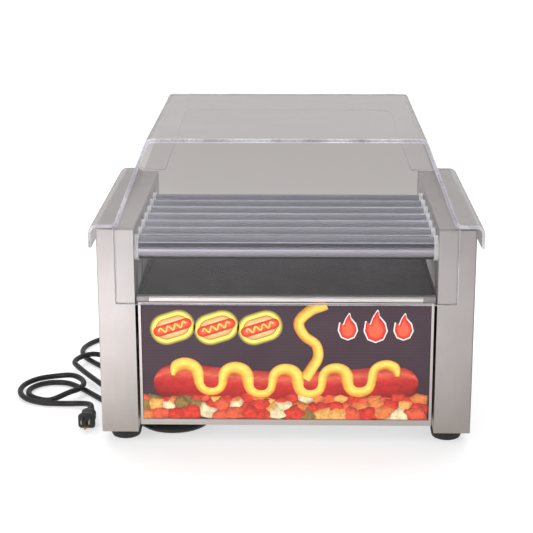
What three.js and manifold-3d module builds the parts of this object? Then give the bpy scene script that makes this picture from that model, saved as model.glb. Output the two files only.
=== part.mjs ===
// Countertop hot dog roller grill: two side housings, seven heated rollers on a chain drive, a clear
// guard, a drip tray, a bun drawer under it, and a graphic panel on the customer's side.
// Millimetres, +Z up. The customer's side faces -Y and the operator's side +Y.
import * as THREE from 'three';
import { mergeVertices } from 'three/addons/utils/BufferGeometryUtils.js';
import Module from 'manifold-3d';

const wasm = await Module();
wasm.setup();

// ---- Driving dimensions ----
const GAP = 0.3; // left between pieces that touch
const SHEET = 2; // sheet metal thickness

const FOOT_HEIGHT = 18.5;
const FOOT_RADIUS = 25;
const FOOT_X = 256; // foot centres, from the middle
const FOOT_INSET = 38; // foot centres, from the front and rear of the housings

const INNER_HALF = 232.5; // half the clear width between the two housings
const HOUSING_WIDTH = 57.5;
const HOUSING_DEPTH = 420;
const HOUSING_HEIGHT = 331.5;
const HOUSING_TOP = FOOT_HEIGHT + HOUSING_HEIGHT;
const OUTER_HALF = INNER_HALF + HOUSING_WIDTH;
const PAN_SETBACK = 45; // between the housings, the base pan starts this far behind their front face

const ROLLER_COUNT = 7;
const ROLLER_PITCH = 48;
const ROLLER_RADIUS = 17.5;
const ROLLER_BORE = 15.5;
const ROLLER_FIRST_Y = 25; // first roller's axis, behind the housings' front face
const ROLLER_Z = HOUSING_TOP - 36;
const HUB_RADIUS = 12;
const HUB_BORE = 7;
const HEATER_RADIUS = 4.5;
const SEAL_FLANGE_RADIUS = 20;
const SEAL_FLANGE = 6; // flange length between the wall and the cooking length

const SPROCKET_TEETH = 12;
const SPROCKET_ROOT = 12.8;
const SPROCKET_TIP = 15;
const SPROCKET_X = 242; // inner face of every sprocket
const SPROCKET_WIDTH = 5;
const CHAIN_THICKNESS = 3.5;
const MOTOR_Y = 169;
const MOTOR_Z = 150;
const SHAFT_RADIUS = 4;
const SHAFT_END = 258;

const TRAY_TOP = 241.5;
const TRAY_FLOOR = 228.8;
const SIGN_HALF = 229;
const SIGN_BOTTOM = 29;
const SIGN_TOP = 231.5;
const DRAWER_HALF = 229.3;
const DRAWER_TOP = 170;
const DRAWER_BOTTOM = FOOT_HEIGHT + SHEET + GAP + 3;

const GUARD_SHEET = 5; // clear acrylic
const GUARD_HEIGHT = 138; // above the housings
const GUARD_LIP_HALF = 302; // overall half width, over the two lips
const GUARD_LIP_DROP = 36;
const GUARD_FOOT_HALF = 263; // where the slanted sides meet the flat flanges
const GUARD_TOP_HALF = 210;
const GUARD_FRONT_DROP = 120; // the front panel hangs this far below the housings' top
const GUARD_PANEL_INSET = 4; // the front panel's upper outline lies this far inside the hood's
const GUARD_PANEL_STEP = 6.2; // and steps in this far above the flanges

const CONTROL_X = 261; // the controls' centre line on the right housing's rear face
const KNOB_HEIGHTS = [300, 245];
const SWITCH_Z = 190;
const LAMP_Z = 155;

const HANDLE_REACH = 26.3; // the drawer handle's reach behind the housings
const HANDLE_Z = 150;
const GUARD_FRONT_REACH = GUARD_SHEET + 1.3; // the guard's reach in front of the housings
const CENTRE_Y = (HOUSING_DEPTH + HANDLE_REACH - GUARD_FRONT_REACH) / 2;

const CORD_RADIUS = 4.75;
const CORD_EXIT = { x: -262, z: 45 };
const BOOT_LENGTH = 35; // strain relief behind the left housing

// ---- Solids ----
function solidOf(geometry) {
  const bare = geometry.clone();
  bare.deleteAttribute('normal');
  bare.deleteAttribute('uv');
  const merged = mergeVertices(bare, 1e-4);
  const points = merged.attributes.position;
  const corner = new THREE.Vector3();
  const second = new THREE.Vector3();
  const third = new THREE.Vector3();
  const triangles = [];
  let volume = 0;
  for (let i = 0; i < merged.index.count; i += 3) {
    const [a, b, c] = [0, 1, 2].map((k) => merged.index.getX(i + k));
    if (a === b || b === c || c === a) continue;
    triangles.push([a, b, c]);
    corner.fromBufferAttribute(points, a);
    second.fromBufferAttribute(points, b);
    third.fromBufferAttribute(points, c);
    volume += corner.dot(second.cross(third));
  }
  const outward = volume > 0 ? triangles : triangles.map(([a, b, c]) => [a, c, b]);
  return new wasm.Manifold(new wasm.Mesh({
    numProp: 3,
    vertProperties: new Float32Array(points.array),
    triVerts: new Uint32Array(outward.flat()),
  }));
}

function geometryOf(solid) {
  const { vertProperties, triVerts } = solid.getMesh();
  const geometry = new THREE.BufferGeometry();
  geometry.setAttribute('position', new THREE.BufferAttribute(new Float32Array(vertProperties), 3));
  geometry.setIndex(new THREE.BufferAttribute(new Uint32Array(triVerts), 1));
  geometry.computeVertexNormals();
  return geometry;
}

// A block between two corners, whose bounds may come in either order.
function block(x0, x1, y0, y1, z0, z1) {
  const geometry = new THREE.BoxGeometry(Math.abs(x1 - x0), Math.abs(y1 - y0), Math.abs(z1 - z0));
  geometry.translate((x0 + x1) / 2, (y0 + y1) / 2, (z0 + z1) / 2);
  return solidOf(geometry);
}

function shapeOf(points, holes = []) {
  const shape = new THREE.Shape(points.map(([a, b]) => new THREE.Vector2(a, b)));
  for (const hole of holes) {
    shape.holes.push(new THREE.Path(hole.map(([a, b]) => new THREE.Vector2(a, b))));
  }
  return shape;
}

// An outline drawn in (y, z) and extruded from x0 to x1.
function prismX(points, x0, x1, holes = []) {
  const depth = Math.abs(x1 - x0);
  const geometry = new THREE.ExtrudeGeometry(shapeOf(points, holes), { depth, bevelEnabled: false });
  const axes = new THREE.Matrix4().makeBasis(
    new THREE.Vector3(0, 1, 0), new THREE.Vector3(0, 0, 1), new THREE.Vector3(1, 0, 0));
  geometry.applyMatrix4(axes);
  geometry.translate(Math.min(x0, x1), 0, 0);
  return solidOf(geometry);
}

// An outline drawn in (x, z) and extruded from y0 to y1.
function prismY(points, y0, y1, holes = []) {
  const geometry = new THREE.ExtrudeGeometry(shapeOf(points, holes), { depth: y1 - y0, bevelEnabled: false });
  geometry.rotateX(Math.PI / 2);
  geometry.translate(0, y1, 0);
  return solidOf(geometry);
}

// A closed profile of (radius, distance along the axis) turned about one axis through a centre.
function turned(profile, axis, [x, y, z], segments = 20) {
  const loop = [...profile, profile[0]];
  const geometry = new THREE.LatheGeometry(loop.map(([r, h]) => new THREE.Vector2(r, h)), segments);
  if (axis === 'x') geometry.rotateZ(-Math.PI / 2);
  if (axis === 'z') geometry.rotateX(Math.PI / 2);
  geometry.translate(x, y, z);
  return solidOf(geometry);
}

function rod(radius, axis, from, to, centre, segments = 16) {
  return turned([[0, from], [radius, from], [radius, to], [0, to]], axis, centre, segments);
}

function joined(solids) {
  return solids.reduce((whole, solid) => whole.add(solid));
}

function cut(solid, tools) {
  return tools.reduce((rest, tool) => rest.subtract(tool), solid);
}

// ---- Outlines ----
function circle(cy, cz, radius, count = 18) {
  return Array.from({ length: count }, (_, i) => {
    const angle = (2 * Math.PI * i) / count;
    return [cy + radius * Math.cos(angle), cz + radius * Math.sin(angle)];
  });
}

function rectangle(a0, a1, b0, b1) {
  return [[a0, b0], [a1, b0], [a1, b1], [a0, b1]];
}

// Replaces each corner of an open run of points with a short arc.
function rounded(points, radius, steps = 3) {
  const vectors = points.map(([a, b]) => new THREE.Vector2(a, b));
  const run = [points[0]];
  for (let i = 1; i < vectors.length - 1; i += 1) {
    const corner = vectors[i];
    const before = vectors[i - 1].clone().sub(corner).normalize();
    const after = vectors[i + 1].clone().sub(corner).normalize();
    const half = Math.acos(before.dot(after)) / 2;
    const reach = radius / Math.tan(half);
    const start = corner.clone().addScaledVector(before, reach);
    const end = corner.clone().addScaledVector(after, reach);
    const curve = new THREE.QuadraticBezierCurve(start, corner, end);
    for (const point of curve.getPoints(steps)) run.push([point.x, point.y]);
  }
  run.push(points[points.length - 1]);
  return run;
}

function roundedLoop(points, radius, steps = 3) {
  const last = points[points.length - 1];
  const middle = [(last[0] + points[0][0]) / 2, (last[1] + points[0][1]) / 2];
  return rounded([middle, ...points, middle], radius, steps).slice(0, -1);
}

// The closed outline of a bent sheet whose middle follows a run of points.
function sheetOutline(points, thickness) {
  const vectors = points.map(([a, b]) => new THREE.Vector2(a, b));
  const offset = (i, side) => {
    const before = vectors[Math.max(i - 1, 0)];
    const after = vectors[Math.min(i + 1, vectors.length - 1)];
    const along = after.clone().sub(before).normalize();
    const step = new THREE.Vector2(-along.y, along.x).multiplyScalar((side * thickness) / 2);
    return [vectors[i].x + step.x, vectors[i].y + step.y];
  };
  const indices = vectors.map((_, i) => i);
  return [...indices.map((i) => offset(i, -1)), ...indices.reverse().map((i) => offset(i, 1))];
}

// The convex loop that a belt of equal pulleys makes round its centres, given counterclockwise.
function beltOutline(centres, radius) {
  const outline = [];
  const turns = centres.length;
  centres.forEach(([cy, cz], i) => {
    const before = centres[(i + turns - 1) % turns];
    const after = centres[(i + 1) % turns];
    const first = Math.atan2(cz - before[1], cy - before[0]) - Math.PI / 2;
    let last = Math.atan2(after[1] - cz, after[0] - cy) - Math.PI / 2;
    while (last < first) last += 2 * Math.PI;
    const steps = 8;
    for (let k = 0; k <= steps; k += 1) {
      const angle = first + ((last - first) * k) / steps;
      outline.push([cy + radius * Math.cos(angle), cz + radius * Math.sin(angle)]);
    }
  });
  return outline;
}

// ---- Housings and frame ----
const rollerYs = Array.from({ length: ROLLER_COUNT }, (_, i) => ROLLER_FIRST_Y + ROLLER_PITCH * i);

function sideCover(side) {
  const shell = block(side * INNER_HALF, side * OUTER_HALF, 0, HOUSING_DEPTH, FOOT_HEIGHT, HOUSING_TOP);
  const inside = block(side * (INNER_HALF - 1), side * (OUTER_HALF - SHEET), SHEET, HOUSING_DEPTH - SHEET,
    FOOT_HEIGHT - 1, HOUSING_TOP - SHEET);
  return cut(shell, [inside, ...(side > 0 ? controlCutouts() : [cordCutout()])]);
}

function controlCutouts() {
  const through = [HOUSING_DEPTH - SHEET - 1, HOUSING_DEPTH + 1];
  const shafts = KNOB_HEIGHTS.map((z) => rod(4, 'y', ...through, [CONTROL_X, 0, z]));
  const switchHole = block(CONTROL_X - 7.8, CONTROL_X + 7.8, ...through, SWITCH_Z - 13.3, SWITCH_Z + 13.3);
  const lampHole = rod(4, 'y', ...through, [CONTROL_X, 0, LAMP_Z]);
  return [...shafts, switchHole, lampHole];
}

function cordCutout() {
  return rod(7.3, 'y', HOUSING_DEPTH - SHEET - 1, HOUSING_DEPTH + 1, [CORD_EXIT.x, 0, CORD_EXIT.z]);
}

// The wall on the inner side of a housing, which carries one seal for each roller.
function bearingWall(side) {
  const outline = rectangle(SHEET + GAP, HOUSING_DEPTH - SHEET - GAP,
    FOOT_HEIGHT + SHEET + GAP, HOUSING_TOP - SHEET - GAP);
  const holes = rollerYs.map((y) => circle(y, ROLLER_Z, SEAL_FLANGE_RADIUS - 0.7));
  return prismX(outline, side * INNER_HALF, side * (INNER_HALF + SHEET), holes);
}

function basePan() {
  const half = OUTER_HALF - SHEET - GAP;
  const [front, rear] = [SHEET + GAP, HOUSING_DEPTH - SHEET - GAP];
  const plate = block(-half, half, front, rear, FOOT_HEIGHT, FOOT_HEIGHT + SHEET);
  const studHole = ([x, y]) => rod(4.5, 'z', FOOT_HEIGHT - 1, FOOT_HEIGHT + SHEET + 1, [x, y, 0]);
  const notch = block(-INNER_HALF, INNER_HALF, 0, PAN_SETBACK, FOOT_HEIGHT - 1, FOOT_HEIGHT + SHEET + 1);
  return cut(plate, [...footCentres().map(studHole), notch]);
}

function footCentres() {
  const ys = [FOOT_INSET, HOUSING_DEPTH - FOOT_INSET];
  return ys.flatMap((y) => [[-FOOT_X, y], [FOOT_X, y]]);
}

function foot([x, y]) {
  const top = FOOT_HEIGHT - GAP;
  const profile = [[0, 0], [FOOT_RADIUS - 3, 0], [FOOT_RADIUS - 1, 2], [FOOT_RADIUS, top - 2],
    [FOOT_RADIUS - 2, top], [4, top], [4, FOOT_HEIGHT + 10], [0, FOOT_HEIGHT + 10]];
  return turned(profile, 'z', [x, y, 0]);
}

// The shelf that the drip tray slides on, with a flange down each bearing wall.
function trayDeck() {
  const top = TRAY_FLOOR - GAP;
  const edge = INNER_HALF - GAP;
  const inner = edge - SHEET;
  const outline = [[-edge, 205], [-inner, 205], [-inner, top - SHEET], [inner, top - SHEET], [inner, 205],
    [edge, 205], [edge, top], [-edge, top]];
  return prismY(outline, 15, HOUSING_DEPTH - 15);
}

function drawerRail(side) {
  const bottom = FOOT_HEIGHT + SHEET + GAP;
  const wall = INNER_HALF - GAP;
  const outline = [[214, bottom], [wall, bottom], [wall, 60], [wall - SHEET, 60],
    [wall - SHEET, DRAWER_BOTTOM - GAP], [214, DRAWER_BOTTOM - GAP]];
  return prismY(outline.map(([x, z]) => [side * x, z]), PAN_SETBACK + 1, HOUSING_DEPTH - 12);
}

// ---- Customer's side ----
const SIGN_OPENING = { half: SIGN_HALF - 4.8, bottom: SIGN_BOTTOM + 10, top: SIGN_TOP - 2 };

function signFrame() {
  const { half, bottom, top } = SIGN_OPENING;
  const outline = rectangle(-SIGN_HALF, SIGN_HALF, SIGN_BOTTOM, SIGN_TOP);
  return prismY(outline, 4, 14, [rectangle(-half, half, bottom, top)]);
}

function signPanel() {
  const { half, bottom, top } = SIGN_OPENING;
  return block(GAP - half, half - GAP, 6, 8, bottom + GAP, top - GAP);
}

// ---- Pieces that pull out on the operator's side ----
function dripTray() {
  const [front, rear] = [15, HOUSING_DEPTH - 8];
  const half = INNER_HALF - 4;
  const lipHalf = INNER_HALF - 2.5;
  const pan = cut(block(-half, half, front, rear, TRAY_FLOOR, TRAY_TOP),
    [block(SHEET - half, half - SHEET, front + SHEET, rear - SHEET, TRAY_FLOOR + SHEET, TRAY_TOP + 1)]);
  const ledge = block(-lipHalf, lipHalf, 4, front + 1, TRAY_TOP - SHEET, TRAY_TOP);
  const lip = block(-lipHalf, lipHalf, 4, 4 + SHEET, SIGN_TOP + 0.5, TRAY_TOP);
  const pull = block(-60, 60, rear - 1, HOUSING_DEPTH + 10, TRAY_FLOOR, TRAY_FLOOR + SHEET);
  const upturn = block(-60, 60, HOUSING_DEPTH + 8, HOUSING_DEPTH + 10, TRAY_FLOOR, TRAY_FLOOR + 9);
  return joined([pan, ledge, lip, pull, upturn]);
}

function bunDrawer() {
  const [front, rear] = [18, HOUSING_DEPTH - 10];
  const box = cut(block(-DRAWER_HALF, DRAWER_HALF, front, rear, DRAWER_BOTTOM, DRAWER_TOP),
    [block(SHEET - DRAWER_HALF, DRAWER_HALF - SHEET, front + SHEET, rear - SHEET,
      DRAWER_BOTTOM + SHEET, DRAWER_TOP + 1)]);
  const face = block(-DRAWER_HALF, DRAWER_HALF, rear - SHEET, rear, DRAWER_BOTTOM, TRAY_FLOOR - 5);
  return box.add(face);
}

function drawerHandle() {
  const start = HOUSING_DEPTH - 10 + GAP;
  const end = HOUSING_DEPTH + HANDLE_REACH;
  const post = (x) => block(x - 4, x + 4, start, end - 4, HANDLE_Z - 4, HANDLE_Z + 4);
  const bar = block(-59, 59, end - 8, end, HANDLE_Z - 5, HANDLE_Z + 5);
  return joined([bar, post(-55), post(55)]);
}

// ---- Guard ----
const GUARD_BASE = HOUSING_TOP + GAP;
const GUARD_TOP = HOUSING_TOP + GUARD_HEIGHT;

function guardHood() {
  const half = GUARD_SHEET / 2;
  const lipBottom = GUARD_BASE + GUARD_SHEET - GUARD_LIP_DROP;
  const right = [[GUARD_TOP_HALF - half, GUARD_TOP - half], [GUARD_FOOT_HALF - half, GUARD_BASE + half],
    [GUARD_LIP_HALF - half, GUARD_BASE + half], [GUARD_LIP_HALF - half, lipBottom]];
  const left = right.map(([x, z]) => [-x, z]).reverse();
  return prismY(sheetOutline(rounded([...left, ...right], 8), GUARD_SHEET), -0.5, HOUSING_DEPTH + 0.5);
}

function guardFrontPanel() {
  const shoulder = GUARD_BASE + GUARD_SHEET;
  const right = [[GUARD_FOOT_HALF, HOUSING_TOP - GUARD_FRONT_DROP], [GUARD_FOOT_HALF, shoulder],
    [GUARD_FOOT_HALF - GUARD_PANEL_STEP, shoulder],
    [GUARD_TOP_HALF - GUARD_PANEL_INSET, GUARD_TOP - GUARD_PANEL_INSET]];
  const left = right.map(([x, z]) => [-x, z]).reverse();
  return prismY(roundedLoop([...right, ...left], 2.5), -GUARD_FRONT_REACH, -GUARD_FRONT_REACH + GUARD_SHEET);
}

// The rear arch leaves a wide opening for the operator's tongs.
function guardRearArch() {
  const openFoot = GUARD_FOOT_HALF - 43;
  const openTop = GUARD_TOP_HALF - 30;
  const openHeight = GUARD_TOP - 33;
  const inner = rounded([[openFoot, GUARD_BASE + 1], [openTop, openHeight], [-openTop, openHeight],
    [-openFoot, GUARD_BASE + 1]], 18);
  const outer = rounded([[-GUARD_FOOT_HALF, GUARD_BASE + 1], [-GUARD_TOP_HALF, GUARD_TOP],
    [GUARD_TOP_HALF, GUARD_TOP], [GUARD_FOOT_HALF, GUARD_BASE + 1]], 8);
  const rear = HOUSING_DEPTH + GUARD_FRONT_REACH;
  return prismY([...outer, ...inner], rear - GUARD_SHEET, rear);
}

// ---- Rollers and their drive ----
function sprocketOutline(cy, cz) {
  return Array.from({ length: SPROCKET_TEETH * 2 }, (_, i) => {
    const radius = i % 2 ? SPROCKET_ROOT : SPROCKET_TIP;
    const angle = (Math.PI * i) / SPROCKET_TEETH;
    return [cy + radius * Math.cos(angle), cz + radius * Math.sin(angle)];
  });
}

// A tube with a narrower hub at each end, open all the way so that a heater rod can pass through.
function roller(y) {
  const shoulder = INNER_HALF + 4;
  const [left, right] = [-shoulder - 10, SPROCKET_X + SPROCKET_WIDTH + 3];
  const profile = [[HUB_BORE, left], [HUB_RADIUS, left], [HUB_RADIUS, -shoulder], [ROLLER_RADIUS, -shoulder],
    [ROLLER_RADIUS, shoulder], [HUB_RADIUS, shoulder], [HUB_RADIUS, right], [HUB_BORE, right],
    [HUB_BORE, shoulder - SHEET], [ROLLER_BORE, shoulder - SHEET], [ROLLER_BORE, SHEET - shoulder],
    [HUB_BORE, SHEET - shoulder]];
  const tube = turned(profile, 'x', [0, y, ROLLER_Z]);
  const bore = circle(y, ROLLER_Z, HUB_RADIUS - 1, 12);
  return tube.add(prismX(sprocketOutline(y, ROLLER_Z), SPROCKET_X, SPROCKET_X + SPROCKET_WIDTH, [bore]));
}

// A flanged bearing sleeve that fills its hole in the wall and shows as a ring at the roller's end.
function rollerSeal(side, y) {
  const bore = ROLLER_RADIUS + 0.4;
  const [tip, face, back] = [INNER_HALF - GAP - SEAL_FLANGE, INNER_HALF - GAP, INNER_HALF + SHEET + 1];
  const profile = [[bore, tip], [SEAL_FLANGE_RADIUS, tip], [SEAL_FLANGE_RADIUS, face],
    [SEAL_FLANGE_RADIUS - 1, face], [SEAL_FLANGE_RADIUS - 1, back], [bore, back]];
  return turned(profile.map(([r, h]) => [r, side * h]), 'x', [0, y, ROLLER_Z], 18);
}

function driveChain() {
  const centres = [[rollerYs[0], ROLLER_Z], [MOTOR_Y, MOTOR_Z], [rollerYs[ROLLER_COUNT - 1], ROLLER_Z]];
  const inner = SPROCKET_TIP + 0.5;
  return prismX(beltOutline(centres, inner + CHAIN_THICKNESS), SPROCKET_X + 0.5,
    SPROCKET_X + SPROCKET_WIDTH - 0.5, [beltOutline(centres, inner)]);
}

function motorSprocket() {
  const wheel = prismX(sprocketOutline(MOTOR_Y, MOTOR_Z), SPROCKET_X, SPROCKET_X + SPROCKET_WIDTH);
  return wheel.add(rod(SHAFT_RADIUS, 'x', SPROCKET_X - 2, SHAFT_END, [0, MOTOR_Y, MOTOR_Z]));
}

// The gearbox stands off the bearing wall on three posts, clear of the chain, with the motor under it.
const GEARBOX = { face: 251, back: 284, half: 36, postInset: 8, motorRadius: 24, motorLength: 60 };

function gearMotor() {
  const { face, back, half, postInset, motorRadius, motorLength } = GEARBOX;
  const bottom = MOTOR_Z - half;
  const post = half - postInset;
  const gearbox = block(face, back, MOTOR_Y - half, MOTOR_Y + half, bottom, MOTOR_Z + half);
  const motorX = back - motorRadius - 0.5;
  const motor = rod(motorRadius, 'z', bottom - motorLength, bottom + 1, [motorX, MOTOR_Y, 0]);
  const postCentres = [[MOTOR_Y - post, MOTOR_Z - post], [MOTOR_Y + post, MOTOR_Z - post],
    [MOTOR_Y, MOTOR_Z + post]];
  const posts = postCentres.map(([y, z]) => rod(3, 'x', INNER_HALF + SHEET + GAP, face + 1, [0, y, z], 12));
  const shaftBore = rod(SHAFT_RADIUS + 0.4, 'x', face - 1, SHAFT_END + 2, [0, MOTOR_Y, MOTOR_Z]);
  return cut(joined([gearbox, motor, ...posts]), [shaftBore]);
}

// Seven rods that reach through the rollers from one bus bar, which stands off the left bearing wall.
function heaterRods() {
  const [barIn, barOut] = [-262, -266];
  const [first, last] = [rollerYs[0], rollerYs[ROLLER_COUNT - 1]];
  const bar = block(barIn, barOut, first - 10, last + 10, ROLLER_Z - 7, ROLLER_Z + 7);
  const rods = rollerYs.map((y) => rod(HEATER_RADIUS, 'x', barIn - 1, 238, [0, y, ROLLER_Z], 10));
  const standOff = (y) => rod(3, 'x', barIn - 1, -(INNER_HALF + SHEET + GAP), [0, y, ROLLER_Z], 8);
  const between = [first + ROLLER_PITCH / 2, last - ROLLER_PITCH / 2];
  return joined([bar, ...rods, ...between.map(standOff)]);
}

// ---- Controls on the right housing's rear face ----
function thermostat(z) {
  const front = HOUSING_DEPTH - SHEET - GAP;
  const body = block(CONTROL_X - 13, CONTROL_X + 13, front - 30, front, z - 14, z + 14);
  return cut(body, [rod(3.5, 'y', front - 12, front + 1, [CONTROL_X, 0, z])]);
}

function thermostatKnob(z) {
  const back = HOUSING_DEPTH + 0.6;
  const profile = [[0, back - 11], [3, back - 11], [3, back], [17, back], [16, back + 5], [0, back + 5]];
  const dial = turned(profile, 'y', [CONTROL_X, 0, z], 24);
  const grip = block(CONTROL_X - 3.5, CONTROL_X + 3.5, back + 4, back + 17, z - 15, z + 15);
  return dial.add(grip);
}

function switchBezel() {
  const face = HOUSING_DEPTH + GAP;
  const flange = block(CONTROL_X - 9.5, CONTROL_X + 9.5, face, face + 2, SWITCH_Z - 16, SWITCH_Z + 16);
  const body = block(CONTROL_X - 7.5, CONTROL_X + 7.5, face - 20, face + 1, SWITCH_Z - 13, SWITCH_Z + 13);
  const well = block(CONTROL_X - 6, CONTROL_X + 6, face - 14, face + 3, SWITCH_Z - 11.8, SWITCH_Z + 11.8);
  return cut(flange.add(body), [well]);
}

// A rocker is a sector about its pivot, so that it turns inside its bezel without touching it.
const ROCKER = { pivotY: HOUSING_DEPTH - 0.5, radius: 11, halfAngle: 65, tilt: 7 };

function switchRocker() {
  const { pivotY, radius, halfAngle, tilt } = ROCKER;
  const at = (degrees, r) => {
    const angle = THREE.MathUtils.degToRad(degrees - tilt);
    return [pivotY + r * Math.cos(angle), SWITCH_Z + r * Math.sin(angle)];
  };
  const steps = 10;
  const sweep = 360 - 2 * halfAngle;
  const arc = Array.from({ length: steps + 1 }, (_, i) => at(halfAngle + (sweep * i) / steps, radius));
  return prismX([at(0, 3), ...arc], CONTROL_X - 5.5, CONTROL_X + 5.5);
}

function pilotLamp() {
  const face = HOUSING_DEPTH + GAP;
  const profile = [[0, face - 12], [3.7, face - 12], [3.7, face], [6, face], [5, face + 3], [0, face + 4.5]];
  return turned(profile, 'y', [CONTROL_X, 0, LAMP_Z], 16);
}

// ---- Mains lead ----
function strainRelief() {
  const face = HOUSING_DEPTH + GAP;
  const profile = [[0, face - 8], [7, face - 8], [7, face], [11, face], [11, face + 4], [8, face + 5],
    [6, face + BOOT_LENGTH], [0, face + BOOT_LENGTH]];
  return turned(profile, 'y', [CORD_EXIT.x, 0, CORD_EXIT.z]);
}

// The lead leaves the strain relief, drops to the surface and turns back along the left housing.
const LEAD_IN = [
  [-262, 235.9, 45], [-262, 254, 43.5], [-263, 271, 35], [-268, 288, 23], [-281, 300, 13], [-300, 304, 7],
  [-322, 298, 5.3], [-344, 285, 5.3], [-363, 266, 5.3], [-376, 243, 5.3], [-382, 218, 5.3], [-380, 194, 5.3],
  [-371, 170, 5.3], [-356, 147, 5.3],
];
// The plug lies on the surface at the front, with its blades toward the customer's side.
const LEAD_OUT = [
  [-387, -65, 5.3], [-367, -65.5, 5.3], [-350, -69, 7], [-336, -78, 10], [-327, -91, 13], [-323.5, -104, 14],
  [-323, -114, 14],
];
const HANK = { rear: [-340, 115], front: [-183, -127], inner: 41, outer: 54, over: 112, down: 90 };
const COIL = { centre: [-402, -6], inner: 43, outer: 57 };
const LYING = 5.3; // height of the lead's middle where it lies on the surface
const CROSSING = 15.5; // and where it lies across itself

// Points round an arc, in degrees, with the radius and the height changing evenly along it.
function arcPoints([cx, cy], [r0, r1], [a0, a1], [z0, z1], count) {
  return Array.from({ length: count }, (_, i) => {
    const t = i / (count - 1);
    const angle = THREE.MathUtils.degToRad(a0 + (a1 - a0) * t);
    const radius = r0 + (r1 - r0) * t;
    return [cx + radius * Math.cos(angle), cy + radius * Math.sin(angle), z0 + (z1 - z0) * t];
  });
}

// One and a half turns of a long flat hank, then one and a half turns of a small round coil beside it.
function cordRoute() {
  const { rear, front, inner, outer } = HANK;
  const across = THREE.MathUtils.radToDeg(Math.atan2(rear[0] - front[0], front[1] - rear[1])) + 180;
  const roundFront = (r) => arcPoints(front, [r, r], [across, across - 180], [LYING, LYING], 7);
  const middle = (inner + outer) / 2;
  const upOver = arcPoints(rear, [inner, middle], [across + 180, HANK.over], [CROSSING, CROSSING], 4);
  const downAgain = arcPoints(rear, [middle + 2, outer], [HANK.down, across], [12, 6], 4);
  const between = (p, q) => p.map((value, i) => (value + q[i]) / 2);
  const firstPass = roundFront(inner);
  const secondPass = roundFront(outer);
  const coilIn = arcPoints(COIL.centre, [COIL.inner, COIL.inner], [40, 270], [LYING, LYING], 8);
  const coilOver = arcPoints(COIL.centre, [COIL.inner + 3, COIL.outer], [314, 425], [CROSSING, CROSSING], 5);
  const coilOut = arcPoints(COIL.centre, [COIL.outer, COIL.outer], [455, 620], [12, LYING], 6);
  return [...LEAD_IN, between(LEAD_IN[LEAD_IN.length - 1], firstPass[0]), ...firstPass,
    between(firstPass[6], upOver[0]), ...upOver, ...downAgain, between(downAgain[3], secondPass[0]),
    ...secondPass, ...coilIn, ...coilOver, ...coilOut, ...LEAD_OUT];
}

function cord() {
  const path = new THREE.CatmullRomCurve3(cordRoute().map((point) => new THREE.Vector3(...point)));
  const section = shapeOf(circle(0, 0, CORD_RADIUS, 8));
  return solidOf(new THREE.ExtrudeGeometry(section, { steps: 80, bevelEnabled: false, extrudePath: path }));
}

// A moulded three-pin plug. The lead enters it from +Y, and its blades point along -Y.
function plug() {
  const [x, y, z] = LEAD_OUT[LEAD_OUT.length - 1];
  const entry = y - GAP;
  const boot = turned([[0, entry], [6.5, entry], [8.5, entry - 16], [0, entry - 16]], 'y', [x, 0, z], 12);
  const outline = roundedLoop(rectangle(x - 14, x + 14, z - 13, z + 12), 6);
  const end = entry - 50;
  const body = prismY(outline, end, entry - 15);
  const blade = (dx) => block(x + dx - 0.8, x + dx + 0.8, end - 17, end + 1, z, z + 6.4);
  const earth = rod(2.4, 'y', end - 20, end + 1, [x, 0, z - 6], 10);
  return joined([body, boot, blade(-6.3), blade(6.3), earth]);
}

// ---- Materials ----
function material(color, roughness, metalness, opacity = 1) {
  return new THREE.MeshStandardMaterial({ color, roughness, metalness, opacity, transparent: opacity < 1 });
}

const steel = material(0xc9c3be, 0.38, 1);
const darkSteel = material(0x6a666a, 0.45, 1);
const galvanised = material(0x9a9c9f, 0.55, 1);
const chrome = material(0xd8d9de, 0.08, 1);
const acrylic = material(0xbfb8ba, 0.05, 0, 0.35);
const fluoropolymer = material(0xf1efec, 0.45, 0);
const blackRubber = material(0x161616, 0.8, 0);
const blackPlastic = material(0x1c1c1e, 0.5, 0);
const graphic = material(0x50424f, 0.35, 0);
const amber = material(0xe08a20, 0.2, 0, 0.8);
const cordJacket = material(0x1a191b, 0.6, 0);
const motorPaint = material(0x3b3f45, 0.6, 0.3);

// ---- Assembly ----
function piece(group, name, solid, look) {
  const mesh = new THREE.Mesh(geometryOf(solid), look);
  mesh.name = name;
  group.add(mesh);
}

const sides = [['left', -1], ['right', 1]];

// The machine is drawn from the housings' front face, and moved so that its overall depth is centred.
const machine = new THREE.Group();
machine.position.y = -CENTRE_Y;

for (const [word, side] of sides) {
  piece(machine, `${word}_side_cover`, sideCover(side), steel);
  piece(machine, `${word}_bearing_wall`, bearingWall(side), steel);
  piece(machine, `${word}_drawer_rail`, drawerRail(side), galvanised);
}
piece(machine, 'base_pan', basePan(), galvanised);
piece(machine, 'tray_deck', trayDeck(), darkSteel);
piece(machine, 'sign_frame', signFrame(), steel);
piece(machine, 'sign_panel', signPanel(), graphic);
piece(machine, 'drip_tray', dripTray(), darkSteel);
piece(machine, 'bun_drawer', bunDrawer(), steel);
piece(machine, 'drawer_handle', drawerHandle(), blackPlastic);

const footNames = ['foot_front_left', 'foot_front_right', 'foot_rear_left', 'foot_rear_right'];
footCentres().forEach((centre, i) => piece(machine, footNames[i], foot(centre), blackRubber));

piece(machine, 'guard_hood', guardHood(), acrylic);
piece(machine, 'guard_front_panel', guardFrontPanel(), acrylic);
piece(machine, 'guard_rear_arch', guardRearArch(), acrylic);

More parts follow.
